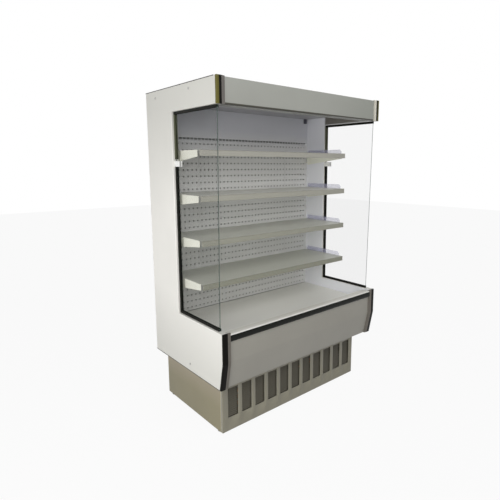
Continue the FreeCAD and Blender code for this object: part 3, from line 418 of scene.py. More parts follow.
# Tank: a painted outer skin, a foamed wall and a white liner, each folded from one sheet.
# The foam is poured between them, and rivets hold the skin's rear edges.
class Recipe(Graph):
    """A Geometry Nodes tree with named sizes that repeats one small mesh."""

    kinds = {int: "NodeSocketInt", float: "NodeSocketFloat", tuple: "NodeSocketVector"}

    def __init__(self, name, sizes):
        super().__init__(bpy.data.node_groups.new(name, "GeometryNodeTree"))
        face = self.tree.interface
        face.new_socket("Geometry", in_out="INPUT", socket_type="NodeSocketGeometry")
        for label, value in sizes.items():
            kind = self.kinds.get(type(value), "NodeSocketMaterial")
            face.new_socket(label, in_out="INPUT", socket_type=kind)
        face.new_socket("Geometry", in_out="OUTPUT", socket_type="NodeSocketGeometry")
        self.sizes = sizes
        self.entry = self.tree.nodes.new("NodeGroupInput")
        self.unit = Value(self, self.entry.outputs[0])

    def size(self, label):
        return Value(self, self.entry.outputs[label])

    def vector(self, operation, inputs):
        return self.node("ShaderNodeVectorMath", inputs, operation=operation)

    def finish(self, shape):
        whole = self.node("GeometryNodeRealizeInstances", (shape,))
        sockets = {"Geometry": whole, "Material": self.size("Material")}
        whole = self.node("GeometryNodeSetMaterial", sockets)
        last = self.tree.nodes.new("NodeGroupOutput")
        self.tree.links.new(whole.socket, last.inputs[0])

    def make(self, name, unit, slot, replaced=None, body="cabinet"):
        """Run the tree on a unit mesh and keep the result as a plain mesh."""
        host = bpy.data.objects.new(name, unit)
        bpy.context.scene.collection.objects.link(host)
        modifier = host.modifiers.new("repeat", "NODES")
        modifier.node_group = self.tree
        for socket in self.tree.interface.items_tree:
            if socket.in_out == "INPUT" and socket.name in self.sizes:
                modifier[socket.identifier] = self.sizes[socket.name]
        graph = bpy.context.evaluated_depsgraph_get()
        mesh = bpy.data.meshes.new_from_object(host.evaluated_get(graph))
        host.modifiers.remove(modifier)
        host.data = creased(mesh)
        return entered(host, replaced, body)


def arrayed(name, shapes, finish, slot, replaced=None, body="cabinet", **layout):
    """Copies of one shape in columns and rows, each further copy turned by a fixed angle."""
    sizes = {label: (0.0, 0.0, 0.0) for label in ("First", "Across", "Up", "Stagger", "Turn")}
    sizes.update({"Columns": 1, "Rows": 1, "Material": finish.material})
    sizes.update({label.capitalize(): value for label, value in layout.items()})
    recipe = Recipe(name, sizes)
    number = recipe.node("GeometryNodeInputIndex")
    columns = recipe.size("Columns")
    row = number // columns
    column = number - row * columns
    place = recipe.size("First")
    for label, factor in (("Across", column), ("Up", row), ("Stagger", row % 2)):
        step = recipe.vector("SCALE", {"Vector": recipe.size(label), "Scale": factor})
        place = recipe.vector("ADD", (place, step))
    count = columns * recipe.size("Rows")
    spots = recipe.node("GeometryNodePoints", {"Count": count, "Position": place})
    turn = recipe.vector("SCALE", {"Vector": recipe.size("Turn"), "Scale": number})
    sockets = {"Points": spots, "Instance": recipe.unit, "Rotation": turn}
    recipe.finish(recipe.node("GeometryNodeInstanceOnPoints", sockets))
    return recipe.make(name, mesh_of(name, merged(shapes)), slot, replaced, body)


painted("skin_paint", (222, 221, 216), 0.4).wear("tank_outer_skin")
painted("liner_paint", (196, 195, 192), 0.4).wear("tank_liner")
foam = Finish("foam", (226, 206, 158), 0.9)
foam.tint(foam.noise(70.0, 5.0), (205, 180, 128))
foam.relief(foam.noise(300.0, 4.0, 0.7), 0.0008)
foam.wear("insulation_foam")
case_rear = 0.395
rivet_x = 0.612
rivet = turned([(0.0040, 0.0), (0.0037, 0.0009), (0.0024, 0.0016), (0.0007, 0.0019)], 10)
arrayed(
    "rear_rivets",
    [aimed(rivet, (0, 0, 0), (0, 1, 0))],
    zinc,
    "galvanised_steel",
    first=(-rivet_x, case_rear, 0.40),
    across=(2 * rivet_x, 0.0, 0.0),
    columns=2,
    up=(0.0, 0.0, 0.19),
    rows=9,
)


# End walls: foamed slabs in painted steel pans that end in a cranked arm above and below.
# The pans have rounded rims, sealed seams, screw caps, and a ledge inside for the deck.
def softened(path, radius, steps=4):
    """A path with a round bend at each inner corner."""
    points = [Vector(point) for point in path]
    bent = [points[0]]
    for before, corner, after in zip(points, points[1:], points[2:]):
        back = before - corner
        on = after - corner
        reach = radius / math.tan(back.angle(on) / 2)
        reach = min(reach, 0.45 * back.length, 0.45 * on.length)
        start = corner + back.normalized() * reach
        end = corner + on.normalized() * reach
        for step in range(steps + 1):
            share = step / steps
            bent.append(start.lerp(corner, share).lerp(corner.lerp(end, share), share))
    bent.append(points[-1])
    return bent


def folded(path, thickness, radius):
    """Outline of sheet steel folded along a path, its thickness to the path's left."""
    line = softened(path, radius)
    normals = []
    for start, end in zip(line, line[1:]):
        heading = (end - start).normalized()
        normals.append(Vector((-heading.y, heading.x)))
    left = []
    for point, before, after in zip(line, normals[:1] + normals, normals + normals[-1:]):
        middle = (before + after).normalized()
        left.append(point + middle * (thickness / middle.dot(before)))
    return [tuple(point) for point in line + left[::-1]]


case_half = 0.665
case_top = 2.0
wall_inner = 0.625
wall_low = 0.344
arm_under = 1.864
column_front = 0.082
sill = 0.676
wall_outline = [
    (case_rear, wall_low),
    (case_rear, case_top),
    (-0.367, case_top),
    (-0.367, arm_under),
    (column_front, arm_under),
    (column_front, sill),
    (-0.383, sill),
    (-0.383, 0.505),
    (-0.352, wall_low),
]
wall_paint = painted("panel_paint", (237, 235, 229), 0.36, 0.97)
wall_height = wall_paint.axis("Z")
# The end walls are painted darker towards their top and bottom: painted shade.
painted_shade_at_ends = wall_paint.ramp(wall_height, 1.3, 1.9) + wall_paint.ramp(wall_height, 0.8, 0.4)
wall_paint.tint(painted_shade_at_ends, (211, 210, 203))
inner_face = wall_paint.ramp(abs(wall_paint.axis("X")), 0.6262, 0.6256)
wall_paint.tint(inner_face, (238, 239, 243))
# The inner face of each top arm is painted dark: painted shade under the canopy.
painted_shade_in_arm = inner_face * wall_paint.ramp(wall_height, arm_under, 1.872)
painted_shade_in_arm = painted_shade_in_arm * wall_paint.ramp(wall_paint.axis("Y"), 0.086, 0.072)
wall_paint.tint(painted_shade_in_arm, (112, 109, 102))
seam = moulded("seam_sealant", (52, 52, 50), (70, 70, 66), 0.6)
cap_plastic = moulded("cap_plastic", (178, 177, 174), (166, 165, 162), 0.45)
ledge_outline = [(0.607, 0.5788), (0.6238, 0.5788), (0.6238, 0.560)]
ledge = extruded(folded(ledge_outline, sheet_steel, 0.0012), 1, -0.311, 0.262)
bead = [
    box(0.6632, 0.6658, -0.352, 0.3955, 1.9975, 2.0012),
    box(0.6632, 0.6658, -0.350, 0.3955, 0.3432, 0.3468),
]
dome = turned([(0.0072, 0.0), (0.0070, 0.0016), (0.0052, 0.0030), (0.0016, 0.0036)], 14)
cap_spots = ((0.269, 1.958), (-0.116, 1.968), (-0.042, 0.389))
caps = [aimed(dome, (case_half, y, z), (1, 0, 0)) for y, z in cap_spots]
for side, same in (("left", flipped), ("right", lambda shape: shape)):
    wall = [same(extruded(wall_outline, 0, wall_inner, case_half))]
    panel = build("end_wall_" + side, wall, wall_paint, "end_panel_" + side)
    rounded(panel, 0.0035)
    build("deck_ledge_" + side, [same(ledge)], wall_paint)
    build("seam_bead_" + side, [same(part) for part in bead], seam)
    build("screw_caps_" + side, [same(part) for part in caps], cap_plastic)

# Edge trims: extruded plastic caps on the walls' front edges, near black with a grey inner lap.
# The upper ones have a painted olive highlight on their outer edge, and the upper right lap has a
# cream painted reflection.
trim = Finish("trim_plastic", (14, 12, 8), 0.28, {"Specular IOR Level": 0.08})
from_middle = abs(trim.axis("X"))
lap = trim.ramp(from_middle, 0.6350, 0.6340)
upper_trim = trim.ramp(trim.axis("Z"), 1.80, 1.82)
# Olive painted highlight along the outer edge of the upper trims.
trim.tint(upper_trim * trim.ramp(from_middle, 0.648, 0.652), (98, 93, 48))
trim.tint(lap, (118, 113, 106))
trim.tint(lap * upper_trim, (112, 108, 104))
# Cream painted reflection on the lap of the upper right trim.
trim.tint(lap * upper_trim * trim.ramp(trim.axis("X"), -0.1, 0.1), (206, 202, 190))
trim.feed("Roughness", 0.22 + 0.16 * trim.noise(30.0, 3.0))
trim.relief(trim.noise(600.0, 1.0), 0.00004).wear("edge_trims")

# Side windows: a toughened pane in each end wall, bedded in black rubber.
# White moulded clips hold its free edge to the column.
glass = Finish("pane_glass", (52, 64, 60), 0.03)
edge = glass.ramp(glass.facing("X"), 0.7, 0.3)
glass.tint(edge, (52, 74, 66))
glass.feed("Alpha", 0.045 + 0.75 * edge)
glass.feed("Roughness", 0.02 + 0.03 * glass.noise(14.0, 2.0)).wear("side_glass")

rubber = moulded("gasket_rubber", (20, 20, 16), (28, 28, 24), 0.5, 900.0, 0.1)
# The gasket is olive along the upper part of the column.
olive_upper_column = rubber.ramp(rubber.axis("Y"), 0.060, 0.066) * rubber.ramp(rubber.axis("Z"), 1.58, 1.62)
rubber.tint(olive_upper_column * rubber.ramp(rubber.axis("Z"), 1.850, 1.846), (84, 86, 68))
rubber.wear("glazing_gaskets")

clip = moulded("clip_plastic", (240, 240, 238), (228, 228, 224), 0.35)
clip_outline = [(0.631, 0.032), (0.6397, 0.032), (0.6397, 0.078), (0.6463, 0.078)]
clip_outline += [(0.6463, 0.032), (0.655, 0.032), (0.655, 0.082), (0.631, 0.082)]
grip = extruded(clip_outline, 2, 1.557, 1.589)
clips = build("window_clips", both_sides(grip), clip, "glass_clips")
rounded(clips, 0.0015)


# Back panels: perforated sheets below and a plain one above, between the shelf uprights.
# Cold air from the rear duct comes through the round holes and the row of outlets.
def pierced_cell(width, height, corner_width, corner_height):
    """Unit cell in the XZ plane with a round-cornered hole, all in shares of the cell."""
    count = 12
    mesh = bpy.data.meshes.new("cell")
    corners = [Vector((x, 0, z)) for x, z in ((0.5, -0.5), (0.5, 0.5), (-0.5, 0.5), (-0.5, -0.5))]
    rim = [
        corners[place].lerp(corners[(place + 1) % 4], share)
        for place in range(4)
        for share in (0, 1 / 3, 2 / 3)
    ]
    hole = []
    for place in range(count):
        turn = math.radians(30 * place - 45)
        across = math.cos(turn)
        up = math.sin(turn)
        x = math.copysign(width / 2 - corner_width, across) + corner_width * across
        z = math.copysign(height / 2 - corner_height, up) + corner_height * up
        hole.append((x, 0, z))
    mesh.from_pydata([tuple(point) for point in rim] + hole, [], band(count, 0, count))
    return mesh


def pierced_sheet(name, holes, finish, slot, body="cabinet", **layout):
    """Sheet of cells laid edge to edge, with its thickness given by a recipe."""
    sizes = {label.capitalize(): value for label, value in layout.items()}
    sizes["Material"] = finish.material
    width, height, corner = holes
    step_x = layout["width"] / layout["columns"]
    step_z = layout["height"] / layout["rows"]
    unit = pierced_cell(width / step_x, height / step_z, corner / step_x, corner / step_z)
    weld = 0.0002
    recipe = Recipe(name, sizes)
    columns = recipe.size("Columns")
    rows = recipe.size("Rows")
    across = recipe.size("Width") / columns
    up = recipe.size("Height") / rows
    sockets = {
        "Size X": across * (columns - 1),
        "Size Y": up * (rows - 1),
        "Vertices X": columns,
        "Vertices Y": rows,
    }
    sockets = {
        "Points": recipe.node("GeometryNodeMeshGrid", sockets),
        "Instance": recipe.unit,
        "Rotation": (-math.pi / 2, 0.0, 0.0),
        "Scale": recipe.node("ShaderNodeCombineXYZ", (across, 1.0, up)),
    }
    cells = recipe.node("GeometryNodeInstanceOnPoints", sockets)
    cells = recipe.node("GeometryNodeRealizeInstances", (cells,))
    cells = recipe.node("GeometryNodeMergeByDistance", {"Geometry": cells, "Distance": weld})
    sockets = {
        "Mesh": cells,
        "Offset": recipe.node("ShaderNodeCombineXYZ", (0.0, 0.0, 1.0)),
        "Offset Scale": recipe.size("Thickness"),
        "Individual": False,
    }
    top = recipe.node("GeometryNodeExtrudeMesh", sockets, mode="FACES")
    under = recipe.node("GeometryNodeFlipFaces", (cells,))
    both = recipe.tree.nodes.new("GeometryNodeJoinGeometry")
    recipe.tree.links.new(under.socket, both.inputs[0])
    recipe.tree.links.new(top.socket, both.inputs[0])
    both = Value(recipe, both.outputs[0])
    whole = recipe.node("GeometryNodeMergeByDistance", {"Geometry": both, "Distance": weld})
    turn = {"Translation": recipe.size("Middle"), "Rotation": recipe.size("Lean")}
    whole = recipe.node("GeometryNodeTransform", {"Geometry": whole, **turn})
    recipe.finish(whole)
    return recipe.make(name, unit, slot, body=body)


back = painted("back_panel_paint", (240, 240, 238), 0.42, 0.97).wear("shelf_uprights")
# The back sheets are painted darker towards the top: painted shade under the canopy.
back.tint(back.ramp(back.axis("Z"), 1.70, 1.80), (222, 223, 228))
back_half = 0.6047
back_face = 0.265
back_rear = 0.2662
sheets_low = 0.602
sheets_high = 1.7225
outlets_low = 1.7233
outlets_high = 1.745
ceiling_level = 1.922
round_hole = (0.012, 0.012, 0.006)
outlet = (0.021, 0.0125, 0.003)
for part, left, right, low, high, columns, rows, holes in (
    ("left", -back_half, -0.3834, sheets_low, sheets_high, 7, 27, round_hole),
    ("middle", -0.3826, 0.3826, sheets_low, sheets_high, 25, 27, round_hole),
    ("right", 0.3834, back_half, sheets_low, sheets_high, 7, 27, round_hole),
    ("outlets", -back_half, back_half, outlets_low, outlets_high, 44, 1, outlet),
):
    pierced_sheet(
        "back_sheet_" + part,
        holes,
        back,
        "liner_paint",
        width=right - left,
        height=high - low,
        columns=columns,
        rows=rows,
        thickness=sheet_steel,
        middle=((left + right) / 2, back_rear, (low + high) / 2),
        lean=(math.pi / 2, 0.0, 0.0),
    )
plain = box(-back_half, back_half, back_face, back_rear, outlets_high, ceiling_level)
build("back_sheet_upper", [plain], back, "back_panels")


# Evaporator: aluminium fins on copper tubes under the deck, with two fans in a plate.
# The fans pull return air from the front grille and push it up the rear duct.
def pipe(path, radius, bend, sides=14):
    """Points and faces of a round bar or tube along a path, bent at its corners."""
    line = softened(path, bend, 6) if bend else [Vector(point) for point in path]
    points = []
    normal = (line[1] - line[0]).orthogonal()
    for place, point in enumerate(line):
        before = line[max(place - 1, 0)]
        after = line[min(place + 1, len(line) - 1)]
        heading = (after - before).normalized()
        normal = (normal - heading * normal.dot(heading)).normalized()
        side = heading.cross(normal)
        for corner in range(sides):
            turn = math.tau * corner / sides
            outward = normal * math.cos(turn) + side * math.sin(turn)
            points.append(tuple(point + outward * radius))
    faces = []
    for row in range(len(line) - 1):
        faces += band(sides, row * sides, (row + 1) * sides)
    last = (len(line) - 1) * sides
    return points, faces + [tuple(range(sides)), tuple(range(last, last + sides))]


def plate(rows, thickness):
    """Points and faces of a thin solid over a grid of points."""
    rows = [[Vector(point) for point in row] for row in rows]
    last_row = len(rows) - 1
    last_column = len(rows[0]) - 1
    front = []
    rear = []
    for row in range(last_row + 1):
        for column in range(last_column + 1):
            before = rows[row][max(column - 1, 0)]
            after = rows[row][min(column + 1, last_column)]
            below = rows[max(row - 1, 0)][column]
            above = rows[min(row + 1, last_row)][column]
            normal = (after - before).cross(above - below).normalized() * (thickness / 2)
            front.append(tuple(rows[row][column] + normal))
            rear.append(tuple(rows[row][column] - normal))
    wide = last_column + 1
    faces = []
    for row in range(last_row):
        for column in range(last_column):
            a = row * wide + column
            quad = (a, a + 1, a + wide + 1, a + wide)
            faces += [quad, tuple(corner + len(front) for corner in quad[::-1])]
    ring = list(range(wide))
    ring += [row * wide + last_column for row in range(1, last_row + 1)]
    ring += [last_row * wide + column for column in range(last_column - 1, -1, -1)]
    ring += [row * wide for row in range(last_row - 1, 0, -1)]
    for a, b in zip(ring, ring[1:] + ring[:1]):
        faces.append((a, b, b + len(front), a + len(front)))
    return front + rear, faces


def finned_coil(name, block, pitch, plates, plate_low, bend_radius, tube_radius, **layout):
    """Thin fins between two end plates, and the return bends of the tubes on the left."""
    left, right, front, rear, low, high = block
    fin = 0.0004
    count = int((right - left) / pitch)
    arrayed(
        name + "_fins",
        [box(0.0, fin, front, rear, low, high)],
        fins,
        "coil_metal",
        name + "_coil",
        first=(left, 0.0, 0.0),
        across=((right - left - fin) / (count - 1), 0.0, 0.0),
        columns=count,
    )
    ends = [box(x0, x1, front, rear, plate_low, high) for x0, x1 in plates]
    build(name + "_end_plates", ends, spangle)
    turns = [math.pi * step / 10 for step in range(11)]
    path = [(-bend_radius * math.sin(turn), 0, -bend_radius * math.cos(turn)) for turn in turns]
    bend = pipe(path, tube_radius, 0, 12)
    arrayed(name + "_bends", [bend], copper, "copper_pipe", **layout)


spangle = Finish("galvanised_steel", (176, 178, 178), 0.42, {"Metallic": 1.0})
sockets = {"Vector": spangle.place(), "Scale": 90.0}
crystals = spangle.node("ShaderNodeTexVoronoi", sockets, "Color", feature="F1")
crystals = spangle.node("ShaderNodeSeparateXYZ", (crystals,), "X")
spangle.tint(crystals * 0.6, (142, 146, 150))
spangle.feed("Roughness", 0.34 + 0.2 * crystals)
spangle.wear("evaporator_fan_plate", "condenser_shroud")
fins = metallic("coil_metal", (188, 190, 192), (150, 153, 156), 0.35, 40.0)
copper = metallic("copper_pipe", (196, 124, 88), (150, 88, 62), 0.32, 40.0)
finned_coil(
    "evaporator",
    block=(-0.478, 0.478, -0.020, 0.230, 0.412, 0.560),
    pitch=0.0055,
    plates=((0.4784, 0.480), (-0.4784, -0.480)),
    plate_low=0.396,
    bend_radius=0.0175,
    tube_radius=0.0048,
    first=(-0.480, 0.012, 0.448),
    across=(0.0, 0.0465, 0.0),
    columns=5,
    up=(0.0, 0.0, 0.074),
    rows=2,
)

blades = moulded("fan_plastic", (40, 41, 42), (56, 57, 58), 0.4, 500.0)
motor = painted("motor_paint", (52, 54, 58), 0.45, 0.8)


def blade(tip, hub):
    """A cupped and twisted fan blade that stands up from the Y axis."""
    root_angle, twist, sweep_back, cupping, flattening = 42, 20, 0.10, 0.10, 0.62
    root = hub * 0.9
    rows = []
    for step in range(9):
        share = step / 8
        reach = root + (tip - root) * share
        chord = tip * (0.42 + 0.34 * math.sin(math.pi * min(share + 0.12, 1.0) * 0.72))
        pitch = math.radians(root_angle - twist * share)
        sweep = -sweep_back * tip * share * share
        row = []
        for place in range(7):
            across = (place / 6 - 0.5) * chord
            cup = cupping * chord * (1 - (place / 3 - 1) ** 2)
            x = across * math.cos(pitch) + sweep
            y = across * math.sin(pitch) - cup
            height = math.sqrt(max(reach * reach - x * x, 0.0001))
            row.append((x, y * flattening, height))
        rows.append(row)
    return plate(rows, 0.0016)


def fan(name, place, tip, replaced, body):
    """Blades about a domed hub with a moulded rim."""
    blade_count = 5
    hub = tip * 0.33
    deep = tip * 0.18
    arrayed(
        name,
        [blade(tip, hub)],
        blades,
        "fan_plastic",
        replaced,
        body,
        first=place,
        turn=(0.0, math.tau / blade_count, 0.0),
        columns=blade_count,
    )
    profile = [
        (hub * 0.94, -deep),
        (hub, -deep * 0.9),
        (hub, deep * 0.75),
        (hub * 0.9, deep * 0.95),
        (hub * 0.4, deep),
        (hub * 0.34, deep * 0.8),
        (0.003, deep * 0.8),
    ]
    dome = aimed(turned(profile, 28), place, (0, 1, 0))
    build(name + "_hub", [dome], blades, body=body)


fan_x = 0.24
evaporator_fan_z = 0.488
condenser_fan_z = 0.152
for side, x in (("left", -fan_x), ("right", fan_x)):
    rotor = "evaporator_fan_" + side
    place = (x, -0.0588, evaporator_fan_z)
    fan(rotor + "_blades", place, 0.083, rotor, "evaporator_rotor_" + side)
place = (-fan_x, -0.14546, condenser_fan_z)
fan("condenser_fan_blades", place, 0.110, "condenser_fan_blade", "condenser_rotor")

motor_profile = [
    (0.030, 0.0),
    (0.034, 0.003),
    (0.034, 0.014),
    (0.0325, 0.016),
    (0.0325, 0.019),
    (0.034, 0.021),
    (0.034, 0.036),
    (0.029, 0.042),
    (0.012, 0.045),
]
motor_shapes = []
for x, z, face, toward, seat, reach in (
    (-fan_x, evaporator_fan_z, -0.0745, -1, -0.0602, 0.0965),
    (fan_x, evaporator_fan_z, -0.0745, -1, -0.0602, 0.0965),
    (-fan_x, condenser_fan_z, -0.1246, 1, -0.1668, 0.1255),
):
    motor_shapes.append(aimed(turned(motor_profile, 28), (x, face, z), (0, toward, 0)))
    root = Vector((x, face + toward * 0.006, z))
    for leg in range(3):
        turn = math.tau * leg / 3
        out = Vector((math.sin(turn), 0, math.cos(turn)))
        foot = Vector((x, seat, z)) + out * reach
        leg_path = [root + out * 0.031, root + out * reach, foot]
        motor_shapes.append(pipe(leg_path, 0.0025, 0.010, 10))
build("fan_motor_bodies", motor_shapes, motor, "fan_motors")


# Deck: a folded white pan over the evaporator, with a slotted return-air grille before it.
# Both lift out for cleaning.
def pan(name, corners, steel, finish, replaced, body="cabinet", open_side="bottom"):
    """Open box of sheet steel with rounded folds."""
    low, high = corners[4:]
    level = low if open_side == "bottom" else high
    points, faces = box(*corners)
    kept = [face for face in faces if any(abs(points[corner][2] - level) > 1e-6 for corner in face)]
    piece = build(name, [(points, kept)], finish, replaced, body)
    rounded(piece, 0.0028)
    return walled(piece, steel)


def spanning(outline, half):
    """A closed outline drawn out over the width of the case."""
    return extruded(outline, 0, -half, half)


deck_half = 0.622
deck_low = 0.580
deck = painted("deck_paint", (240, 239, 233), 0.42, 0.98)
deck_box = (-deck_half, deck_half, -0.265, 0.262, deck_low, 0.600)
pan("deck_sheet", deck_box, sheet_steel, deck, "deck_pan", "deck")
slope_foot = Vector((-0.268, 0.5990))
slope = Vector((-0.0434, 0.0580))
middle = slope_foot + slope / 2
pierced_sheet(
    "return_grille_slope",
    (0.022, 0.006, 0.003),
    deck,
    "shelf_paint",
    "return_grille",
    width=1.2438,
    height=slope.length,
    columns=42,
    rows=5,
    thickness=sheet_steel,
    middle=(0.0, middle.x, middle.y),
    lean=(math.atan2(slope.y, slope.x), 0.0, 0.0),
)
grille_rear = -0.2682
grille_top = 0.6560
front_fold = folded([(-0.338, grille_top), (-0.3105, grille_top)], sheet_steel, 0.001)
rear_fold = folded([(grille_rear, 0.5995), (grille_rear, deck_low)], sheet_steel, 0.001)
cheek = [(-0.3098, grille_top), (-0.3098, deck_low), (grille_rear, deck_low), (grille_rear, 0.5985)]
grille_shapes = [spanning(fold, deck_half) for fold in (front_fold, rear_fold)]
grille_shapes += both_sides(extruded(cheek, 0, deck_half - sheet_steel, deck_half))
build(
    "return_grille_frame", grille_shapes, deck, "return_air_grille", "return_grille"
)


# Shelves: folded trays on hooked cantilever brackets, each tilting on its hooks.
# A pale label channel clips to the front edge, and a clear stop closes the right end.
def raised(shape, height):
    """The shape moved up."""
    points, faces = shape
    return [(x, y, z + height) for x, y, z in points], faces


tray = painted("shelf_paint", (218, 217, 212), 0.38, 0.96)
# Lower trays are painted darker: painted shade.
tray.tint(tray.ramp(tray.axis("Z"), 1.60, 1.10), (201, 202, 192))
cream = painted("bracket_paint", (240, 240, 226), 0.38, 0.97)
rail = moulded("rail_plastic", (176, 174, 164), (168, 166, 155), 0.3)
# Lower label rails are painted darker: painted shade.
rail.tint(rail.ramp(rail.axis("Z"), 1.60, 0.90), (142, 142, 127))
clear = Finish("clear_plastic", (206, 206, 232), 0.1)
clear.feed("Alpha", 0.3 + 0.3 * clear.ramp(clear.facing("X"), 0.7, 0.3))
clear.feed("Roughness", 0.08 + 0.1 * clear.noise(20.0, 2.0))
rail_outline = [
    (-0.1280, 0.0),
    (-0.1318, 0.0),
    (-0.1340, -0.0022),
    (-0.1340, -0.0046),
    (-0.1325, -0.0054),
    (-0.1325, -0.0278),
    (-0.1340, -0.0286),
    (-0.1340, -0.0318),
    (-0.1330, -0.0330),
    (-0.1280, -0.0330),
]
side_edge = [(-0.105, -0.0010), (0.2575, -0.0010), (0.2575, -0.025), (-0.105, -0.025)]
tray_path = [(0.259, -0.020), (0.259, 0.0), (-0.128, 0.0), (-0.128, -0.034)]
tray_half = 0.61375
tray_shapes = [spanning(folded(tray_path, sheet_steel, 0.0026), tray_half)]
tray_shapes += both_sides(extruded(side_edge, 0, tray_half - sheet_steel, tray_half))
channel = spanning(rail_outline, 0.6162)
for number, top in enumerate((1.650, 1.395, 1.140, 0.885), 1):
    shelf = f"shelf_{number}"
    shapes = [raised(shape, top) for shape in tray_shapes]
    build(shelf + "_sheet", shapes, tray, shelf + "_tray", shelf)
    shapes = [raised(channel, top)]
    piece = shelf + "_label_rail"
    label_rail = build(piece, shapes, rail, shelf + "_ticket_rail", shelf)
    rounded(label_rail, 0.0004, 2)
    cream.wear(shelf + "_brackets")
    clear.wear(shelf + "_end_stops")


# Canopy: the ceiling sheet and air outlet, a batten lamp, and the painted fascia in front.
# The fascia hooks over the roof and hides the lamp from the shopper's eye.
ceiling_paint = painted("ceiling_paint", (188, 187, 190), 0.42, 0.95)
ceiling_path = [(-0.2538, 1.884), (-0.200, ceiling_level), (0.265, ceiling_level)]
ceiling = spanning(folded(ceiling_path, sheet_steel, 0.006), wall_inner)
build("ceiling_panel", [ceiling], ceiling_paint, "ceiling_sheet")
comb = moulded("duct_plastic", (176, 176, 172), (160, 160, 156), 0.5, 500.0)
cell_wall = [(0.0050, 0.0), (0.0050, 0.024), (0.0046, 0.024), (0.0046, 0.0)]
arrayed(
    "honeycomb_cells",
    [turned(cell_wall, 6, True)],
    comb,
    "duct_plastic",
    "air_honeycomb",
    first=(-0.6193, -0.3185, 1.8725),
    across=(0.0087, 0.0, 0.0),
    columns=143,
    up=(0.0, 0.00745, 0.0),
    rows=9,
    stagger=(0.00435, 0.0, 0.0),
    turn=(0.0, 0.0, math.tau),
)
outlet_low = 1.872
frame_high = 1.897
frame_front = -0.3235
frame_rear = -0.2565
outlet_walls = [
    box(-wall_inner, wall_inner, frame_rear, -0.255, outlet_low, frame_high),
    box(-wall_inner, wall_inner, -0.325, frame_front, outlet_low, 1.964),
    box(-wall_inner, -0.6235, frame_front, frame_rear, outlet_low, frame_high),
    box(0.6235, wall_inner, frame_front, frame_rear, outlet_low, frame_high),
]
build("outlet_frame", outlet_walls, comb)
lamp_paint = painted("lamp_body", (220, 220, 214), 0.4, 0.95)
holder = [(-0.353, 1.889), (-0.353, 1.876), (-0.349, 1.870)]
holder += [(-0.341, 1.870), (-0.337, 1.876), (-0.337, 1.889)]
lamp_shapes = [box(-0.590, 0.590, -0.365, -0.325, 1.888, 1.916)]
lamp_shapes += both_sides(extruded(holder, 0, 0.578, 0.590))
rounded(build("lamp_batten", lamp_shapes, lamp_paint, "lamp_fitting"), 0.002)
lamp_middle = (0, -0.345, 1.878)
tube = moulded("lamp_glass", (228, 230, 226), (216, 218, 214), 0.18)
sleeve = turned([(0.0070, -0.566), (0.0076, -0.563), (0.0076, 0.563), (0.0070, 0.566)], 24)
sleeve = aimed(sleeve, lamp_middle, (1, 0, 0))
build("lamp_envelope", [sleeve], tube, "lamp_tube")
ferrule = [(0.0073, 0.563), (0.0079, 0.565), (0.0079, 0.575), (0.0060, 0.577), (0.0012, 0.5779)]
ferrules = [aimed(turned(ferrule, 24), lamp_middle, (side, 0, 0)) for side in (1, -1)]
build("lamp_ferrules", ferrules, zinc)
front_half = 0.613
fascia_front = -0.3718
fascia_paint = painted("fascia_paint", (159, 160, 153), 0.36, 0.95)
# The fascia is painted darker towards its right end: painted shade.
fascia_paint.tint(fascia_paint.ramp(fascia_paint.axis("X"), 0.15, 0.62), (145, 147, 139))
# A dark band is painted along the fascia's bottom fold.
fascia_paint.tint(fascia_paint.ramp(fascia_paint.axis("Z"), 1.8740, 1.8730), (54, 52, 42))
fascia_path = [(-0.3578, 1.866), (fascia_front, 1.866), (fascia_front, 1.996), (-0.310, 1.996)]
fascia = spanning(folded(fascia_path, sheet_steel, 0.0025), front_half)
build("fascia_sheet", [fascia], fascia_paint, "canopy_fascia")
probe = moulded("probe_plastic", (92, 92, 100), (80, 80, 88), 0.5)
case = box(0.582, 0.604, 0.251, 0.265, 1.887, 1.921)
slits = [box(0.586, 0.600, 0.2502, 0.252, z, z + 0.0014) for z in (1.893, 1.898, 1.903, 1.908)]
probe_case = build("probe_case", [case, *slits], probe, "temperature_probe")
rounded(probe_case, 0.0005, 2)

# Front: the painted apron over the tank's front wall, with a rubbing strip along its top.
# The strip is a dark plastic nose below a pale lip.
apron_paint = painted("apron_paint", (154, 151, 142), 0.4, 0.95)
apron_paint.tint(apron_paint.ramp(apron_paint.axis("Z"), 0.6638, 0.6646), (222, 220, 212))
apron_rear = -0.3400
apron_face = -0.3818
apron_top = 0.6668
apron_path = [
    (-0.3428, 0.3452),
    (-0.3508, 0.3452),
    (apron_face, 0.5050),
    (apron_face, apron_top),
    (apron_rear, apron_top),
    (apron_rear, 0.6572),
]
apron = spanning(folded(apron_path, sheet_steel, 0.004), front_half)
build("apron_sheet", [apron], apron_paint, "front_apron")
dark = moulded("bumper_plastic", (16, 18, 14), (24, 26, 22), 0.2, 600.0, 0.12)
nose = [(-0.383, 0.626), (-0.390, 0.626), (-0.3935, 0.629), (-0.395, 0.634), (-0.395, 0.653)]
nose += [(-0.3935, 0.6575), (-0.390, 0.6605), (-0.383, 0.661)]
build("bumper_nose", [spanning(nose, front_half)], dark, "bumper_strip")
lip = [(-0.383, 0.6612), (-0.3905, 0.6612), (-0.3915, 0.6635)]
lip += [(-0.390, 0.6665), (-0.387, 0.668), (-0.383, 0.668)]
build("bumper_lip", [spanning(lip, front_half)], deck)

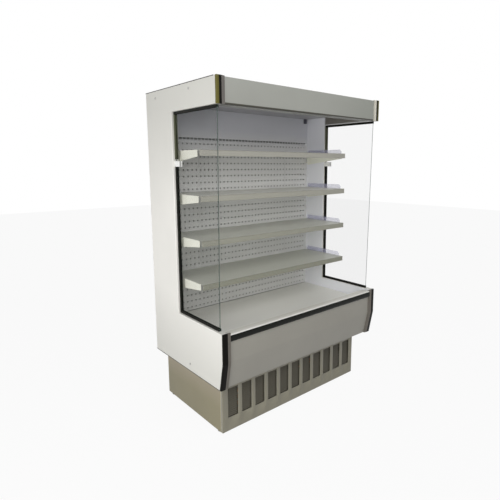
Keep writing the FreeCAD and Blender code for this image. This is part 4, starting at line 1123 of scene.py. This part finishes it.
# Refrigeration unit: a hermetic compressor on rubber mounts, a condenser with its fan,
# the pipes to the evaporator, and the tray that takes the meltwater.
black = painted("compressor_paint", (38, 39, 41), 0.4, 0.75)
shell = [
    (0.066, 0.004),
    (0.078, 0.014),
    (0.078, 0.084),
    (0.0802, 0.087),
    (0.0802, 0.094),
    (0.078, 0.097),
    (0.0775, 0.132),
    (0.071, 0.156),
    (0.056, 0.174),
    (0.034, 0.185),
    (0.010, 0.190),
]
terminals = box(-0.084, -0.056, -0.022, 0.022, 0.044, 0.088)
base_plate = box(-0.095, 0.095, -0.095, 0.095, 0.0, 0.004)
unit_shapes = [turned(shell, 48), terminals, base_plate]
unit_shapes = [aimed(shape, (0.230, 0.060, 0.041)) for shape in unit_shapes]
compressor = build("compressor_shell", unit_shapes, black, "compressor")
rounded(compressor, 0.0015, 2)
ring = [(0.0045, 0.0), (0.012, 0.0), (0.012, 0.007), (0.0092, 0.009)]
ring += [(0.0092, 0.013), (0.012, 0.015), (0.012, 0.022), (0.0045, 0.022)]
spots = [(x, y, 0.019) for x in (0.151, 0.309) for y in (-0.019, 0.139)]
grommets = [aimed(turned(ring, 20, True), spot) for spot in spots]
build("compressor_grommets", grommets, rubber, "compressor_mounts")

finned_coil(
    "condenser",
    block=(-0.4384, -0.0416, -0.238, -0.168, 0.025, 0.285),
    pitch=0.0030,
    plates=((-0.440, -0.4386), (-0.0414, -0.040)),
    plate_low=0.019,
    bend_radius=0.0125,
    tube_radius=0.0042,
    first=(-0.440, -0.220, 0.046),
    across=(0.0, 0.034, 0.0),
    columns=2,
    up=(0.0, 0.0, 0.0425),
    rows=6,
)

discharge = [(0.230, -0.017, 0.190), (0.230, -0.203, 0.190), (-0.040, -0.203, 0.190)]
liquid = [(-0.040, -0.203, 0.064), (0.020, -0.203, 0.064), (0.020, 0.190, 0.064)]
liquid += [(0.540, 0.190, 0.064), (0.540, 0.190, 0.440), (0.480, 0.190, 0.440)]
suction = [(0.480, 0.060, 0.530), (0.540, 0.060, 0.530)]
suction += [(0.540, 0.060, 0.120), (0.307, 0.060, 0.120)]
lines = [
    pipe(discharge, 0.005, 0.022),
    pipe(liquid, 0.005, 0.020),
    pipe(suction, 0.008, 0.028),
]
drier = [(0.0052, 0.0), (0.0070, 0.006), (0.014, 0.016)]
drier += [(0.014, 0.094), (0.0070, 0.104), (0.0052, 0.110)]
lines.append(aimed(turned(drier, 24), (0.380, 0.190, 0.064), (1, 0, 0)))
build("refrigerant_lines", lines, copper, "refrigerant_pipework")

basin = moulded("tray_plastic", (70, 71, 72), (84, 85, 86), 0.45, 500.0)
basin_box = (-0.470, -0.070, 0.040, 0.330, 0.019, 0.069)
pan(
    "meltwater_tray", basin_box, 0.0015, basin, "condensate_tray", open_side="top"
)
drain = moulded("drain_plastic", (188, 188, 184), (172, 172, 168), 0.4, 500.0)
spigot = [(0.014, 0.057), (0.0155, 0.057), (0.016, 0.059), (0.016, 0.394)]
spigot += [(0.021, 0.3965), (0.021, 0.3975), (0.014, 0.3970)]
spigot = aimed(turned(spigot, 28, True), (-0.250, 0.200, 0))
build("drain_spigot", [spigot], drain, "drain_pipe")
painted("box_paint", (178, 178, 172), 0.45, 0.9).wear("control_box")
display = moulded("display_plastic", (30, 34, 38), (40, 44, 48), 0.12)
controls = [box(0.372, 0.416, -0.2420, -0.2409, 0.141, 0.159)]
key_spots = [(x, z) for x in (0.422, 0.431) for z in (0.141, 0.153)]
controls += [box(x, x + 0.006, -0.2422, -0.2409, z, z + 0.005) for x, z in key_spots]
rounded(build("controller_face", controls, display), 0.0004, 2)
moulded("rocker_plastic", (28, 28, 28), (42, 42, 42), 0.3).wear("power_switch_rocker")
moulded("gland_plastic", (36, 36, 38), (52, 52, 54), 0.4).wear("cable_gland")

# Kick grille: a painted sheet that lifts off the base, pressed into columns of louvres.
# The condenser draws its air through them.
kick_paint = painted("kick_paint", (139, 135, 119), 0.42, 0.94)
# The louvres wear a darker copy of the kick paint: painted shade in the openings.
louvre_paint = painted("louvre_paint", (78, 74, 61), 0.46, 0.9)
windows = 11
window_pitch = 0.103
window_half = 0.036
kick_front = -0.265
edges_x = [-base_half]
for column in range(windows):
    middle = window_pitch * (column - windows // 2)
    edges_x += [middle - window_half, middle + window_half]
edges_x.append(base_half)
edges_z = [base_low, 0.095, 0.278, 0.343]
front_points = [(x, kick_front, z) for z in edges_z for x in edges_x]
wide = len(edges_x)
front_faces = []
for row in range(3):
    for column in range(wide - 1):
        corner = row * wide + column
        if not (row == 1 and column % 2 == 1):
            front_faces.append((corner, corner + 1, corner + 1 + wide, corner + wide))
rim = list(range(wide)) + [row * wide + wide - 1 for row in range(1, 4)]
rim += [3 * wide + column for column in range(wide - 2, -1, -1)] + [wide * 2, wide]
returns = [(front_points[corner][0], -0.250, front_points[corner][2]) for corner in rim]
shift = len(front_points)
for place, corner in enumerate(rim):
    after = (place + 1) % len(rim)
    front_faces.append((rim[after], corner, shift + place, shift + after))
kick_shapes = [(front_points + returns, front_faces)]
kick_sheet = build("kick_sheet", kick_shapes, kick_paint, "kick_grille", "kick")
rounded(kick_sheet, 0.0025)
walled(kick_sheet, sheet_steel)
louvre_rear = -0.2506
louvre_half = 0.0385
louvre = []
for step in range(7):
    turn = math.radians(90 * step / 6)
    y = louvre_rear - 0.0085 * math.cos(turn)
    louvre.append([(x, y, 0.0095 * math.sin(turn)) for x in (-louvre_half, louvre_half)])
arrayed(
    "kick_louvres",
    [plate(louvre, 0.0008)],
    louvre_paint,
    "kick_paint",
    body="kick",
    first=(-window_pitch * (windows // 2), 0.0, 0.096),
    across=(window_pitch, 0.0, 0.0),
    columns=windows,
    up=(0.0, 0.0, 0.01305),
    rows=14,
)
